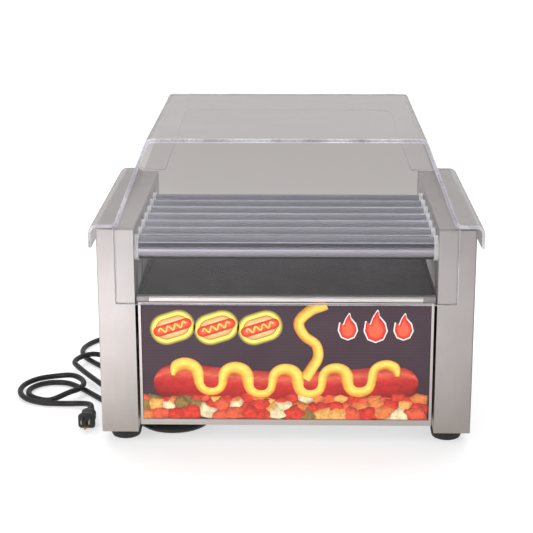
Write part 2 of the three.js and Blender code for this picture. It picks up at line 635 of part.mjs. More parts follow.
rollerYs.forEach((y, i) => {
  piece(machine, `roller_${i + 1}`, roller(y), chrome);
  for (const [word, side] of sides) {
    piece(machine, `roller_seal_${word}_${i + 1}`, rollerSeal(side, y), fluoropolymer);
  }
});
piece(machine, 'heater_rods', heaterRods(), darkSteel);
piece(machine, 'drive_chain', driveChain(), darkSteel);
piece(machine, 'gear_motor', gearMotor(), motorPaint);
piece(machine, 'motor_sprocket', motorSprocket(), galvanised);

KNOB_HEIGHTS.forEach((z, i) => {
  piece(machine, `thermostat_${i + 1}`, thermostat(z), galvanised);
  piece(machine, `thermostat_knob_${i + 1}`, thermostatKnob(z), blackPlastic);
});
piece(machine, 'switch_bezel', switchBezel(), blackPlastic);
piece(machine, 'switch_rocker', switchRocker(), blackPlastic);
piece(machine, 'pilot_lamp', pilotLamp(), amber);
piece(machine, 'strain_relief', strainRelief(), blackRubber);

const grill = new THREE.Group();
grill.add(machine);
piece(grill, 'mains_cord', cord(), cordJacket);
piece(grill, 'mains_plug', plug(), blackPlastic);

export default grill;
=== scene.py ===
"""Countertop hot dog roller grill: the looks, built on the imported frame.

Lengths are in millimetres until a mesh is made. The customer's side faces -Y, the operator's side +Y.
"""
import math
import random

import bmesh
import bpy
from mathutils import Matrix, Vector


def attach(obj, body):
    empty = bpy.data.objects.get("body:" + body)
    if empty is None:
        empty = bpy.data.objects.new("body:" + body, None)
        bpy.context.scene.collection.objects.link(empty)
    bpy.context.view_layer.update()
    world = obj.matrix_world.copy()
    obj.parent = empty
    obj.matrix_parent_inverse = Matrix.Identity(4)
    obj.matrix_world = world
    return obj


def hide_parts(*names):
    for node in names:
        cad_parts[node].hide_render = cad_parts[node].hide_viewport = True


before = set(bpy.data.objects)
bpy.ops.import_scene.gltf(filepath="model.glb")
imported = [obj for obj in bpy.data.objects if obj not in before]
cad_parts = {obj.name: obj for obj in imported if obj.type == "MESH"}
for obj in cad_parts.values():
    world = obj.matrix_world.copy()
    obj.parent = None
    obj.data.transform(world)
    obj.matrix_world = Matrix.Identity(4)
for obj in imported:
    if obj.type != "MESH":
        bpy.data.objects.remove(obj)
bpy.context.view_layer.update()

# ---- Driving dimensions ----
MM = 0.001  # metres in a millimetre
WELD = 0.005  # points nearer than this become one
GAP = 0.3  # clearance between neighbouring parts
SHEET = 2  # sheet metal thickness
INNER_HALF = 232.5  # half the clear width between the housings
OUTER_HALF = 290
FRONT, REAR = -220, 200  # the housings' front and rear faces
SIDES = (("left", -1), ("right", 1))
FOOT_HEIGHT = 18.5
FOOT_RADIUS = 25
FOOT_CENTRES = {"front_left": (-256, -182), "front_right": (256, -182),
                "rear_left": (-256, 162), "rear_right": (256, 162)}
HOUSING_TOP = 350
BEND = 3.2  # outer bend radius of the covers

ROLLER_COUNT = 7
ROLLER_PITCH = 48
FIRST_ROLLER_Y = -195
ROLLER_YS = [FIRST_ROLLER_Y + ROLLER_PITCH * i for i in range(ROLLER_COUNT)]
ROLLER_Z = 314
ROLLER_RADIUS = 17.5
SEAL_RADIUS = 20
SPROCKET_X = 242
SPROCKET_WIDTH = 5
SPROCKET_TEETH = 12
SPROCKET_ROOT, SPROCKET_TIP = 12.8, 15

TRAY_TOP = 241.5
TRAY_FLOOR = 228.8
SIGN_FACE = FRONT + 6
SIGN_HALF = 229
SIGN_BOTTOM, SIGN_TOP = 29, 231.5
SIGN_OPENING = {"half": 224.2, "bottom": 39, "top": 229.5}
SAUSAGE_REACH = 207  # half the length of the printed sausage
EMBLEM_Z = 190  # middle height of the small printed shapes
DRAWER_HALF = 229.3
DRAWER_BOTTOM, DRAWER_TOP, DRAWER_FACE_TOP = 23.8, 170, 223.8
DRAWER_FRONT, DRAWER_REAR = -202, 190
HANDLE_Z = 150

GUARD_SHEET = 5
GUARD_BASE = 350.3
GUARD_TOP = 488
GUARD_LIP_HALF = 302
GUARD_FOOT_HALF = 263
GUARD_TOP_HALF = 210
GUARD_LIP_BOTTOM = 319.3
GUARD_PANEL_BOTTOM = 230
GUARD_PANEL_INSET = 4  # the front panel's upper outline lies this far inside the hood's
GUARD_PANEL_STEP = 6.2  # and steps in this far above the flanges
GUARD_FRONT, GUARD_REAR = -226.3, 206.3

CONTROL_X = 261
KNOB_HEIGHTS = (300, 245)
SWITCH_Z = 190
SWITCH_HOLE = (7.8, 13.3)  # half its width and height
LAMP_Z = 155
ROCKER_TILT = 7

CORD_DIAMETER = 9.5
CORD_EXIT = (-262, 45)  # across and up, on the left housing's rear face
BOOT_END = 235.3
LYING = 5.3  # height of the lead's middle where it lies on the surface
CROSSING = 15.5  # and where it lies across itself
LEAVING = 12  # and where it starts to come down from a crossing

LENS, SENSOR = 99, 36  # the camera's focal length and sensor width
CAMERA_PLACE = (0.0173, -2.3742, 0.898)  # metres
CAMERA_TURNS = (1.25, -15.75, 0.14)  # yaw, pitch and roll in degrees
STUDIO_GREY = (0.46, 0.435, 0.425)  # the studio as it shows through the clear guard
CEILING_EDGE = math.radians(64)  # the pale ceiling starts this far above the front horizon

# ---- Mesh making ----
AXES = {"x": (1, 2, 0), "y": (0, 2, 1), "z": (0, 1, 2)}  # where (across, up, along) go in (x, y, z)


def point(axis, across, up, along):
    """A vertex position in metres from coordinates measured about an axis, in millimetres."""
    place = [0.0, 0.0, 0.0]
    for index, value in zip(AXES[axis], (across, up, along)):
        place[index] = value * MM
    return Vector(place)


def ring_faces(bm, rings, closed=False):
    """Joins neighbouring rings of vertices with quads."""
    pairs = list(zip(rings, rings[1:]))
    if closed:
        pairs.append((rings[-1], rings[0]))
    for near, far in pairs:
        for i in range(len(near)):
            k = (i + 1) % len(near)
            bm.faces.new((near[i], near[k], far[k], far[i]))


def prism(bm, outline, axis, low, high):
    """Extrudes a closed outline along an axis, from low to high."""
    rings = [[bm.verts.new(point(axis, a, b, along)) for a, b in outline] for along in (low, high)]
    ring_faces(bm, rings)
    for ring in rings:
        bm.faces.new(ring)


def block(bm, x, y, z):
    """A box from three (low, high) pairs."""
    prism(bm, rectangle(x[0], x[1], z[0], z[1]), "y", y[0], y[1])


def turned(bm, profile, axis, centre, sides=64):
    """Turns a closed profile of (radius, distance along the axis) about an axis through a centre."""
    across, up = (centre[i] for i in AXES[axis][:2])
    rings = []
    for step in range(sides):
        angle = 2 * math.pi * step / sides
        rings.append([
            bm.verts.new(point(axis, across + r * math.cos(angle), up + r * math.sin(angle), along))
            for r, along in profile])
    ring_faces(bm, rings, closed=True)


def loft(bm, sections):
    """A closed body through several rings of points in millimetres."""
    rings = [[bm.verts.new(Vector(p) * MM) for p in section] for section in sections]
    ring_faces(bm, rings)
    bm.faces.new(rings[0])
    bm.faces.new(rings[-1])


def rectangle(a0, a1, b0, b1):
    return [(a0, b0), (a1, b0), (a1, b1), (a0, b1)]


def circle(a, b, radius):
    count = 48
    turn = 2 * math.pi / count
    return [(a + radius * math.cos(turn * i), b + radius * math.sin(turn * i)) for i in range(count)]


def rounded(points, radius, steps=6, closed=False):
    """Replaces the corners of a run of points with arcs."""
    points = [Vector(p) for p in points]
    count = len(points)
    run = []
    for i, corner in enumerate(points):
        if not closed and i in (0, count - 1):
            run.append(tuple(corner))
            continue
        before = (points[i - 1] - corner).normalized()
        after = (points[(i + 1) % count] - corner).normalized()
        half = before.angle(after) / 2
        reach = radius / math.tan(half)
        middle = corner + (before + after).normalized() * radius / math.sin(half)
        start = corner + before * reach - middle
        turn = start.angle_signed(corner + after * reach - middle)
        for k in range(steps + 1):
            run.append(tuple(middle + Matrix.Rotation(-turn * k / steps, 2) @ start))
    return run


def soft_rectangle(a, b, half_a, half_b, radius, steps):
    """A rectangle about its middle, with rounded corners."""
    return rounded(rectangle(a - half_a, a + half_a, b - half_b, b + half_b), radius, steps, closed=True)


def sheet_outline(run, thickness):
    """The closed outline of a bent sheet whose middle follows a run of points."""
    run = [Vector(p) for p in run]
    sides = ([], [])
    for i, here in enumerate(run):
        along = (run[min(i + 1, len(run) - 1)] - run[max(i - 1, 0)]).normalized()
        step = Vector((-along.y, along.x)) * thickness / 2
        sides[0].append(tuple(here + step))
        sides[1].append(tuple(here - step))
    return sides[0] + sides[1][::-1]


def linked(name, data):
    """A new object in the scene."""
    obj = bpy.data.objects.new(name, data)
    bpy.context.scene.collection.objects.link(obj)
    return obj


def finished(name, bm, material):
    """Turns a mesh in the making into an object with one material."""
    mesh = bpy.data.meshes.new(name)
    bm.to_mesh(mesh)
    bm.free()
    mesh.materials.append(material)
    return linked(name, mesh)


def piece(name, bm, material, body, slot, replaces=(), bevel=0.0, segments=2, solidify=0.0, sharp=35):
    """Turns a mesh into a piece that rides on a body. bevel and solidify are in mm, sharp in degrees."""
    bmesh.ops.remove_doubles(bm, verts=bm.verts, dist=WELD * MM)
    if not solidify:
        bmesh.ops.recalc_face_normals(bm, faces=bm.faces)
    obj = finished(name, bm, material)
    if solidify:
        thick = obj.modifiers.new("thickness", "SOLIDIFY")
        thick.thickness = solidify * MM
        thick.offset = -1
        thick.use_even_offset = True
    if bevel:
        soft = obj.modifiers.new("edges", "BEVEL")
        soft.width = bevel * MM
        soft.segments = segments
        soft.limit_method = "ANGLE"
        soft.angle_limit = math.radians(sharp)
        soft.harden_normals = True
    obj.data.polygons.foreach_set("use_smooth", [True] * len(obj.data.polygons))
    obj.data.set_sharp_from_angle(angle=math.radians(sharp))
    if replaces:
        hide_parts(*replaces)
    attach(obj, body)
    return obj


def extruded(name, outlines, axis, ends, *kind, **edges):
    """A piece made of outlines extruded together. kind and edges are what piece() takes after the mesh."""
    bm = bmesh.new()
    for outline in outlines:
        prism(bm, outline, axis, *ends)
    return piece(name, bm, *kind, **edges)


def lathed(name, profile, axis, centre, *kind, sides=64, **edges):
    """A piece turned from one profile. kind and edges are what piece() takes after the mesh."""
    bm = bmesh.new()
    turned(bm, profile, axis, centre, sides)
    return piece(name, bm, *kind, **edges)


# ---- Material making ----
def surface(name, colour, roughness, metallic=0.0, **sockets):
    """A material with one Principled shader. Sockets are given by name, with _ for a space."""
    material = bpy.data.materials.new(name)
    material.use_nodes = True
    shader = material.node_tree.nodes["Principled BSDF"]
    shader.inputs["Base Color"].default_value = (*colour, 1)
    shader.inputs["Roughness"].default_value = roughness
    shader.inputs["Metallic"].default_value = metallic
    for socket, value in sockets.items():
        shader.inputs[socket.replace("_", " ")].default_value = value
    material.diffuse_color = (*colour, 1)
    return material, material.node_tree, shader


def node(tree, kind, inputs=(), **settings):
    """A new shader node. inputs gives its sockets, by name or number, values or other nodes' outputs."""
    new = tree.nodes.new(kind)
    for name, value in settings.items():
        setattr(new, name, value)
    for name, value in dict(inputs).items():
        if isinstance(value, bpy.types.NodeSocket):
            tree.links.new(value, new.inputs[name])
        else:
            new.inputs[name].default_value = value
    return new


def coordinates(tree, size):
    """Object coordinates divided by a grain size in mm, one number or one for each axis."""
    sizes = size if isinstance(size, tuple) else (size,) * 3
    place = node(tree, "ShaderNodeTexCoord").outputs["Object"]
    scale = [1 / (s * MM) for s in sizes]
    return node(tree, "ShaderNodeMapping", {"Vector": place, "Scale": scale}).outputs["Vector"]


def grain(tree, size, detail, roughness=0.5):
    """A noise of the given grain size."""
    return node(tree, "ShaderNodeTexNoise", {"Vector": coordinates(tree, size), "Scale": 1, "Detail": detail,
                                             "Roughness": roughness}).outputs["Fac"]


def ramp(tree, factor, *stops, constant=False):
    """Colours at positions from 0 to 1 along a factor."""
    new = node(tree, "ShaderNodeValToRGB", {"Fac": factor})
    elements = new.color_ramp.elements
    elements.remove(elements[-1])
    elements[0].position, elements[0].color = stops[0][0], (*stops[0][1], 1)
    for position, colour in stops[1:]:
        elements.new(position).color = (*colour, 1)
    if constant:
        new.color_ramp.interpolation = "CONSTANT"
    return new.outputs["Color"]


def between(tree, factor, low, high, start=0.3, end=0.7):
    """Maps a noise onto a range of values."""
    return node(tree, "ShaderNodeMapRange", {"Value": factor, "From Min": start, "From Max": end,
                                             "To Min": low, "To Max": high}).outputs["Result"]


def multiplied(tree, first, second):
    """Multiplies two colours. 0, 6 and 7 are the sockets that a Mix node uses for colours."""
    return node(tree, "ShaderNodeMix", {0: 1, 6: first, 7: second}, data_type="RGBA",
                blend_type="MULTIPLY").outputs[2]


def feed(tree, shader, colour, roughness=None):
    """Gives a shader a colour that varies, and a roughness if that varies too."""
    tree.links.new(colour, shader.inputs["Base Color"])
    if roughness is not None:
        tree.links.new(roughness, shader.inputs["Roughness"])


def mixed(tree, factor, first, second):
    """Mixes two shaders."""
    return node(tree, "ShaderNodeMixShader", {0: factor, 1: first.outputs[0], 2: second.outputs[0]})


def show(tree, shader, output="Material Output"):
    """Makes a shader the one that is seen."""
    tree.links.new(shader.outputs[0], tree.nodes[output].inputs["Surface"])


def ray(tree, fact):
    """What the renderer knows of the present ray, such as "Is Camera Ray"."""
    return node(tree, "ShaderNodeLightPath").outputs[fact]


def difference(tree, first, second, clamp=False):
    """The first value less the second, kept between 0 and 1 if clamped."""
    return node(tree, "ShaderNodeMath", {0: first, 1: second}, operation="SUBTRACT",
                use_clamp=clamp).outputs[0]


def bumped(tree, shader, *layers):
    """Stacks bumps on a shader, each a height and its depth in mm."""
    below = {}
    for height, depth in layers:
        bump = node(tree, "ShaderNodeBump", {"Distance": depth * MM, "Height": height, **below})
        below = {"Normal": bump.outputs["Normal"]}
    tree.links.new(below["Normal"], shader.inputs["Normal"])


def shade(value, tone=(1, 1, 1)):
    return tuple(value * t for t in tone)


def attribute(tree, name):
    return node(tree, "ShaderNodeAttribute", attribute_name=name).outputs["Fac"]


# ---- Materials ----
def brushed_steel(name, brush, level):
    """Satin stainless steel, brushed along one axis, with faint handling marks."""
    material, tree, shader = surface(name, shade(level), 0.34, 1.0)
    long, fine = 60, 0.45  # the brush lines' grain
    lines = grain(tree, tuple(long if axis == brush else fine for axis in "xyz"), 5, 0.65)
    marks = grain(tree, 55, 3)
    warm = (1.0, 0.955, 0.925)
    tone = ramp(tree, lines, (0.3, shade(level * 0.93, warm)), (0.7, shade(level * 1.04, warm)))
    stained = ramp(tree, marks, (0.35, shade(0.93)), (0.7, shade(1)))
    feed(tree, shader, multiplied(tree, tone, stained), between(tree, lines, 0.27, 0.42))
    bumped(tree, shader, (lines, 0.012), (marks, 0.15))
    return material


def polished_chrome():
    """The rollers: bright plating with very shallow waves from turning and a few dull patches."""
    material, tree, shader = surface("chrome", (0.38, 0.385, 0.43), 0.06, 1.0)
    rings = grain(tree, (9, 60, 60), 1)
    patches = grain(tree, (60, 30, 30), 2)
    tone = ramp(tree, patches, (0.35, (0.365, 0.37, 0.42)), (0.65, (0.395, 0.4, 0.45)))
    feed(tree, shader, tone, between(tree, patches, 0.075, 0.05))
    bumped(tree, shader, (rings, 0.001))
    return material


def clear_acrylic():
    """Clear sheet with a slight grey cast, faint smears, and light that passes through it."""
    material, tree, shader = surface("acrylic", (0.995, 0.993, 0.995), 0.03,
                                     IOR=1.36, Transmission_Weight=1.0)
    smears = grain(tree, (70, 70, 25), 5, 0.6)
    tree.links.new(between(tree, smears, 0.015, 0.06, 0.45, 0.75), shader.inputs["Roughness"])
    bumped(tree, shader, (grain(tree, 90, 1), 0.12))
    clear = node(tree, "ShaderNodeBsdfTransparent", {"Color": (0.97, 0.968, 0.97, 1)})
    show(tree, mixed(tree, ray(tree, "Is Shadow Ray"), shader, clear))
    return material


def acrylic_edge_painted_light(name, dark, pale):
    """The sheet's sawn edges and their polished corners: frosted where sawn, and painted pale as painted
    light for the light they gather, the corners paler still as a painted highlight.
    """
    material, tree, shader = surface(name, pale, 0.25, IOR=1.49, Transmission_Weight=0.25)
    saw = grain(tree, 2, 4)
    wide = grain(tree, 35, 3)
    tone = ramp(tree, wide, (0.35, dark), (0.65, pale))
    feed(tree, shader, tone, between(tree, saw, 0.18, 0.4))
    bumped(tree, shader, (saw, 0.03))
    return material


def dark_tray_steel():
    """The drip tray: steel painted near black as painted shade, for the shade it lies in under the rollers,
    with drawn-out streaks.
    """
    # Its near-black colour is painted shade.
    material, tree, shader = surface("tray_steel_painted_shade", (0.05, 0.046, 0.05), 0.5, Specular_IOR_Level=0.06)
    streaks = grain(tree, (9, 160, 9), 5, 0.6)
    stains = grain(tree, 35, 5, 0.6)
    tone = ramp(tree, streaks, (0.35, (0.015, 0.0135, 0.016)), (0.62, (0.026, 0.0235, 0.027)),
                (0.8, (0.08, 0.076, 0.083)))
    dulled = ramp(tree, stains, (0.35, shade(0.75)), (0.65, shade(1)))
    feed(tree, shader, multiplied(tree, tone, dulled), between(tree, stains, 0.42, 0.6))
    bumped(tree, shader, (streaks, 0.03), (stains, 0.1))
    return material


def galvanised_steel():
    """Zinc-coated sheet with its mottled spangle."""
    material, tree, shader = surface("galvanised", (0.45, 0.46, 0.48), 0.5, 1.0)
    cells = node(tree, "ShaderNodeTexVoronoi", {"Vector": coordinates(tree, 9), "Scale": 1}).outputs["Color"]
    tone = ramp(tree, cells, (0.1, (0.36, 0.37, 0.4)), (0.9, (0.58, 0.59, 0.61)))
    feed(tree, shader, tone, between(tree, cells, 0.38, 0.6, 0, 1))
    return material


def moulded(name, colour, roughness, texture, depth, worn=1.35):
    """Moulded plastic or rubber: a fine texture of the given size, paler where it is handled."""
    material, tree, shader = surface(name, colour, roughness)
    fine = grain(tree, texture, 3)
    wide = grain(tree, texture * 30, 4)
    tone = ramp(tree, wide, (0.35, colour), (0.72, shade(worn, colour)))
    feed(tree, shader, tone, between(tree, wide, roughness - 0.07, roughness + 0.1))
    bumped(tree, shader, (fine, depth))
    return material


def printed_ground():
    """The sign's dark ground, with the faint ribs of its fluted board showing through."""
    dark = (0.05, 0.025, 0.038)
    material, tree, shader = surface("sign_ground", dark, 0.38)
    ribs = node(tree, "ShaderNodeTexWave", {"Vector": coordinates(tree, 5), "Scale": 0.31},
                bands_direction="Z").outputs["Fac"]
    mottle = grain(tree, 60, 4)
    tone = ramp(tree, mottle, (0.3, dark), (0.7, (0.064, 0.034, 0.05)))
    lined = ramp(tree, ribs, (0, shade(0.86)), (0.7, shade(1)))
    feed(tree, shader, multiplied(tree, tone, lined), between(tree, mottle, 0.3, 0.45))
    bumped(tree, shader, (ribs, 0.06))
    return material


def printed(name, *stops, mottle):
    """A printed colour that runs across a shape by its "across" attribute, mottled like a photograph."""
    material, tree, shader = surface(name, stops[-1][1], 0.36)
    tone = ramp(tree, attribute(tree, "across"), *stops)
    spots = ramp(tree, grain(tree, (14, 7, 7), 5, 0.6), (0.3, shade(1 - mottle)), (0.7, shade(1 + mottle)))
    feed(tree, shader, multiplied(tree, tone, spots))
    return material


def printed_vegetables():
    """Chopped tomato, onion and relish: one colour for each chunk, shaded toward its edge."""
    material, tree, shader = surface("sign_vegetables", (0.8, 0.1, 0.04), 0.36)
    kinds = ramp(tree, attribute(tree, "kind"), (0.0, (0.7, 0.045, 0.025)), (0.34, (0.8, 0.11, 0.05)),
                 (0.56, (0.8, 0.22, 0.06)), (0.7, (0.88, 0.7, 0.42)), (0.83, (0.3, 0.18, 0.05)),
                 (0.9, (0.85, 0.42, 0.11)), constant=True)
    edges = ramp(tree, attribute(tree, "across"), (0, shade(0.25)), (0.35, shade(0.68)), (1, shade(1.05)))
    spots = ramp(tree, grain(tree, 9, 6, 0.7), (0.3, shade(0.5)), (0.68, shade(1.25)))
    feed(tree, shader, multiplied(tree, multiplied(tree, kinds, edges), spots))
    return material


def amber_lens():
    """The pilot lamp's amber plastic, deeper in colour in places."""
    material, tree, shader = surface("amber_lens", (0.85, 0.3, 0.03), 0.12,
                                     IOR=1.5, Coat_Weight=0.4, Subsurface_Weight=0.15)
    depth = grain(tree, 4, 2)
    feed(tree, shader, ramp(tree, depth, (0.3, (0.6, 0.17, 0.02)), (0.7, (0.92, 0.38, 0.05))))
    return material


def bare_metal(name, colour, roughness):
    """Small plated parts, with fine scratches."""
    material, tree, shader = surface(name, colour, roughness, 1.0)
    scratches = grain(tree, (0.6, 8, 0.6), 4)
    feed(tree, shader, ramp(tree, scratches, (0.3, shade(0.85, colour)), (0.7, colour)),
         between(tree, scratches, roughness, roughness + 0.15))
    bumped(tree, shader, (scratches, 0.01))
    return material


STEEL_UP = brushed_steel("steel_brushed_up", "z", 0.62)
# The sign surround's steel is a lighter copy of the housings' steel: painted light.
STEEL_PAINTED_LIGHT = brushed_steel("steel_painted_light", "x", 0.8)
STEEL_ACROSS = brushed_steel("steel_brushed_across", "x", 0.62)
# A darker copy of the housings' steel: painted shade on the inner walls and the drawer box inside the
# machine.
STEEL_PAINTED_SHADE = brushed_steel("steel_brushed_painted_shade", "y", 0.55)
# The tray lip's steel is a near-white copy of the housings' steel: painted light.
STEEL_LIP_PAINTED_LIGHT = brushed_steel("steel_lip_painted_light", "x", 0.97)
# A much darker copy of the same steel: painted shade on the tray lip's folded ends.
STEEL_PAINTED_DARK_SHADE = brushed_steel("steel_painted_dark_shade", "x", 0.34)
CHROME = polished_chrome()
ACRYLIC = clear_acrylic()
# The edge colours are partly the frosted saw cut and partly painted light; the corners' paler colour is a
# painted highlight.
ACRYLIC_EDGE_PAINTED_LIGHT = acrylic_edge_painted_light("acrylic_edge_painted_light", (0.42, 0.39, 0.44), (0.66, 0.63, 0.69))
ACRYLIC_CORNER_HIGHLIGHT = acrylic_edge_painted_light("acrylic_corner_highlight", (0.52, 0.51, 0.55), (0.8, 0.8, 0.83))
# Near-black steel, as painted shade for the drip tray under the rollers.
TRAY_STEEL_PAINTED_SHADE = dark_tray_steel()
GALVANISED = galvanised_steel()
SEAL_WHITE = moulded("seal_white", (0.88, 0.88, 0.88), 0.35, 0.5, 0.01, 1.05)
RUBBER = moulded("foot_rubber", (0.012, 0.013, 0.012), 0.6, 0.5, 0.05, 1.8)
PLASTIC = moulded("black_plastic", (0.016, 0.016, 0.017), 0.42, 0.35, 0.03)
JACKET = moulded("cord_jacket", (0.011, 0.0105, 0.011), 0.4, 0.8, 0.03, 1.6)
MOTOR_PAINT = moulded("motor_paint", (0.03, 0.035, 0.042), 0.5, 1.2, 0.05)
MARKING = moulded("marking_white", (0.75, 0.75, 0.72), 0.5, 0.4, 0.01, 1.05)
SIGN_GROUND = printed_ground()
SAUSAGE = printed("sign_sausage", (0, (0.12, 0.008, 0.008)), (0.3, (0.36, 0.012, 0.01)),
                  (0.62, (0.52, 0.02, 0.016)), (0.8, (0.66, 0.1, 0.06)), (1, (0.36, 0.014, 0.012)),
                  mottle=0.24)
MUSTARD = printed("sign_mustard", (0, (0.5, 0.14, 0.015)), (0.22, (0.74, 0.36, 0.04)),
                  (0.55, (0.9, 0.66, 0.12)), (0.8, (0.86, 0.6, 0.1)), (1, (0.6, 0.24, 0.03)), mottle=0.14)
GLOW = printed("sign_glow", (0, (0.085, 0.06, 0.08)), (0.45, (0.55, 0.42, 0.05)),
               (1, (0.93, 0.88, 0.16)), mottle=0.03)
EMBLEM = printed("sign_emblem", (0, (0.62, 0.02, 0.015)), (0.5, (0.76, 0.03, 0.02)),
                 (1, (0.82, 0.12, 0.05)), mottle=0.05)
BUN = printed("sign_bun", (0, (0.45, 0.17, 0.04)), (0.6, (0.75, 0.4, 0.13)),
              (1, (0.85, 0.6, 0.28)), mottle=0.06)
PAPER_WHITE = printed("sign_white", (0, (0.6, 0.57, 0.52)), (1, (0.85, 0.83, 0.78)), mottle=0.04)
VEGETABLES = printed_vegetables()
AMBER = amber_lens()
NICKEL = bare_metal("nickel", (0.62, 0.6, 0.56), 0.25)
BRASS = bare_metal("brass", (0.62, 0.45, 0.22), 0.3)


# ---- Camera, floor and lights ----
def camera():
    """One long lens in front of the customer's side, a little above the machine."""
    data = bpy.data.cameras.new("camera")
    data.sensor_width = SENSOR
    data.lens = LENS
    data.clip_start, data.clip_end = 0.05, 50
    obj = linked("camera", data)
    yaw, pitch, roll = (math.radians(a) for a in CAMERA_TURNS)
    obj.matrix_world = (Matrix.Translation(CAMERA_PLACE) @ Matrix.Rotation(yaw, 4, "Z")
                        @ Matrix.Rotation(pitch, 4, "X") @ Matrix.Rotation(roll, 4, "Y")
                        @ Matrix.Rotation(math.radians(90), 4, "X"))
    bpy.context.scene.camera = obj
    bpy.context.scene.view_settings.view_transform = "Standard"


def soft_light(name, place, target, size, power, colour=(1, 1, 1), mirrored=True):
    """A rectangular light in metres and watts, which shiny things show only if it is mirrored."""
    data = bpy.data.lights.new(name, "AREA")
    data.shape = "RECTANGLE"
    data.size, data.size_y = size
    data.energy = power
    data.color = colour
    obj = linked(name, data)
    obj.location = place
    obj.rotation_euler = (Vector(target) - Vector(place)).to_track_quat("-Z", "Y").to_euler()
    obj.visible_glossy = mirrored
    obj.visible_transmission = mirrored


def seen_through_glass(tree):
    """1 where the camera looks straight through the clear guard, and 0 everywhere else."""
    direct = difference(tree, ray(tree, "Is Transmission Ray"), ray(tree, "Glossy Depth"))
    return difference(tree, direct, ray(tree, "Diffuse Depth"), clamp=True)


def seen_in_metal(tree):
    """1 where something shiny reflects what the ray meets, with or without the guard in between."""
    return difference(tree, ray(tree, "Glossy Depth"), ray(tree, "Diffuse Depth"), clamp=True)


def background(tree, colour, strength=1.0):
    return node(tree, "ShaderNodeBackground", {"Color": (*colour, 1), "Strength": strength})


def reflected_floor(tree):
    """The floor as metal reflects it: bright in front and on the left, dim near the machine and behind."""
    place = node(tree, "ShaderNodeNewGeometry").outputs["Position"]
    parts = node(tree, "ShaderNodeSeparateXYZ", {0: place}).outputs
    depth = ramp(tree, between(tree, parts["Y"], 0, 1, -3, 1), (0.1, (0.5, 0.49, 0.5)),
                 (0.22, (0.8, 0.79, 0.8)), (0.32, (1.8, 1.75, 1.8)), (0.5, (1.25, 1.2, 1.22)),
                 (0.6, (0.92, 0.87, 0.86)), (0.68, (0.64, 0.59, 0.56)), (0.78, (0.45, 0.43, 0.42)))
    side = ramp(tree, between(tree, parts["X"], 0, 1, -0.6, 0.6), (0.1, shade(1.7)),
                (0.25, shade(1.18)), (0.75, shade(0.88)), (0.9, shade(0.74)))
    return node(tree, "ShaderNodeEmission", {"Color": multiplied(tree, depth, side)})


def floor():
    """A pale floor with some light of its own. It is a mid grey where it is seen through the guard."""
    material, tree, shader = surface("studio_floor", shade(0.4), 0.6, Emission_Color=(1, 1, 1, 1),
                                     Emission_Strength=0.57)
    feed(tree, shader, ramp(tree, grain(tree, 400, 2), (0, shade(0.39)), (1, shade(0.41))))
    grey = node(tree, "ShaderNodeEmission", {"Color": (*STUDIO_GREY, 1)})
    reflected = mixed(tree, seen_in_metal(tree), shader, reflected_floor(tree))
    show(tree, mixed(tree, seen_through_glass(tree), reflected, grey))
    bm = bmesh.new()
    block(bm, (-2600, 2600), (-3200, 2600), (-20, 0))
    finished("floor", bm, material)


def overhead(tree):
    """What metal reflects of the room: a pale ceiling and low horizon, with dark walls in between."""
    direction = node(tree, "ShaderNodeTexCoord").outputs["Generated"]
    edge = (0, math.sin(CEILING_EDGE), math.cos(CEILING_EDGE))
    toward = node(tree, "ShaderNodeVectorMath", {0: direction, 1: edge}, operation="DOT_PRODUCT")
    return ramp(tree, between(tree, toward.outputs["Value"], 0, 1, -1, 1), (0.05, (0.6, 0.585, 0.61)),
                (0.11, (0.45, 0.44, 0.46)), (0.16, (0.1, 0.097, 0.11)), (0.46, (0.1, 0.097, 0.11)),
                (0.52, (0.44, 0.435, 0.46)), (0.72, (0.4, 0.395, 0.41)), (0.95, (0.56, 0.54, 0.54)))


def room():
    """A plain soft studio: white to the camera, soft to light by, and a mid grey through the guard."""
    world = bpy.data.worlds.new("studio")
    bpy.context.scene.world = world
    world.use_nodes = True
    tree = world.node_tree
    reflected = tree.nodes["Background"]
    reflected.inputs["Strength"].default_value = 1
    tree.links.new(overhead(tree), reflected.inputs["Color"])
    lit = mixed(tree, ray(tree, "Is Diffuse Ray"), reflected, background(tree, (1, 1, 1), 0.7))
    open_view = mixed(tree, ray(tree, "Is Camera Ray"), lit, background(tree, (1, 1, 1), 1.1))
    shown = mixed(tree, seen_through_glass(tree), open_view, background(tree, STUDIO_GREY))
    show(tree, shown, "World Output")


def lights():
    soft_light("key", (-1.5, -1.7, 1.3), (-0.5, -0.9, 0), (1.0, 1.0), 14)
    soft_light("fill", (2.2, -1.6, 1.8), (0.2, 0, 0.1), (1.6, 1.6), 6)
    soft_light("strip", (0, -1.1, 2.15), (0, 0, 0.3), (4.5, 0.16), 5, (0.97, 0.97, 1))
    soft_light("low", (0, -1.5, 0.4), (0, -0.2, 0), (2.4, 0.5), 8, mirrored=False)
    soft_light("behind", (0, 1.5, 2.6), (0, 1.3, 0), (4.0, 2.6), 120, mirrored=False)


# ---- Mains lead ----
LEAD_IN = [
    (-262, 235.9, 45), (-262, 254, 43.5), (-263, 271, 35), (-268, 288, 23), (-281, 300, 13), (-300, 304, 7),
    (-322, 298, LYING), (-344, 285, LYING), (-363, 266, LYING), (-376, 243, LYING), (-382, 218, LYING),
    (-380, 194, LYING), (-371, 170, LYING), (-356, 147, LYING),
]
LEAD_OUT = [
    (-387, -65, LYING), (-367, -65.5, LYING), (-350, -69, 7), (-336, -78, 10), (-327, -91, 13),
    (-323.5, -104, 14), (-323, -114, 14),
]
HANK = {"rear": (-340, 115), "front": (-183, -127), "inner": 41, "outer": 54, "over": 112, "down": 90}
COIL = {"centre": (-402, -6), "inner": 43, "outer": 57,
        "first": (40, 270), "over": (314, 425), "last": (455, 620)}  # angles of its three arcs
PLUG = LEAD_OUT[-1]


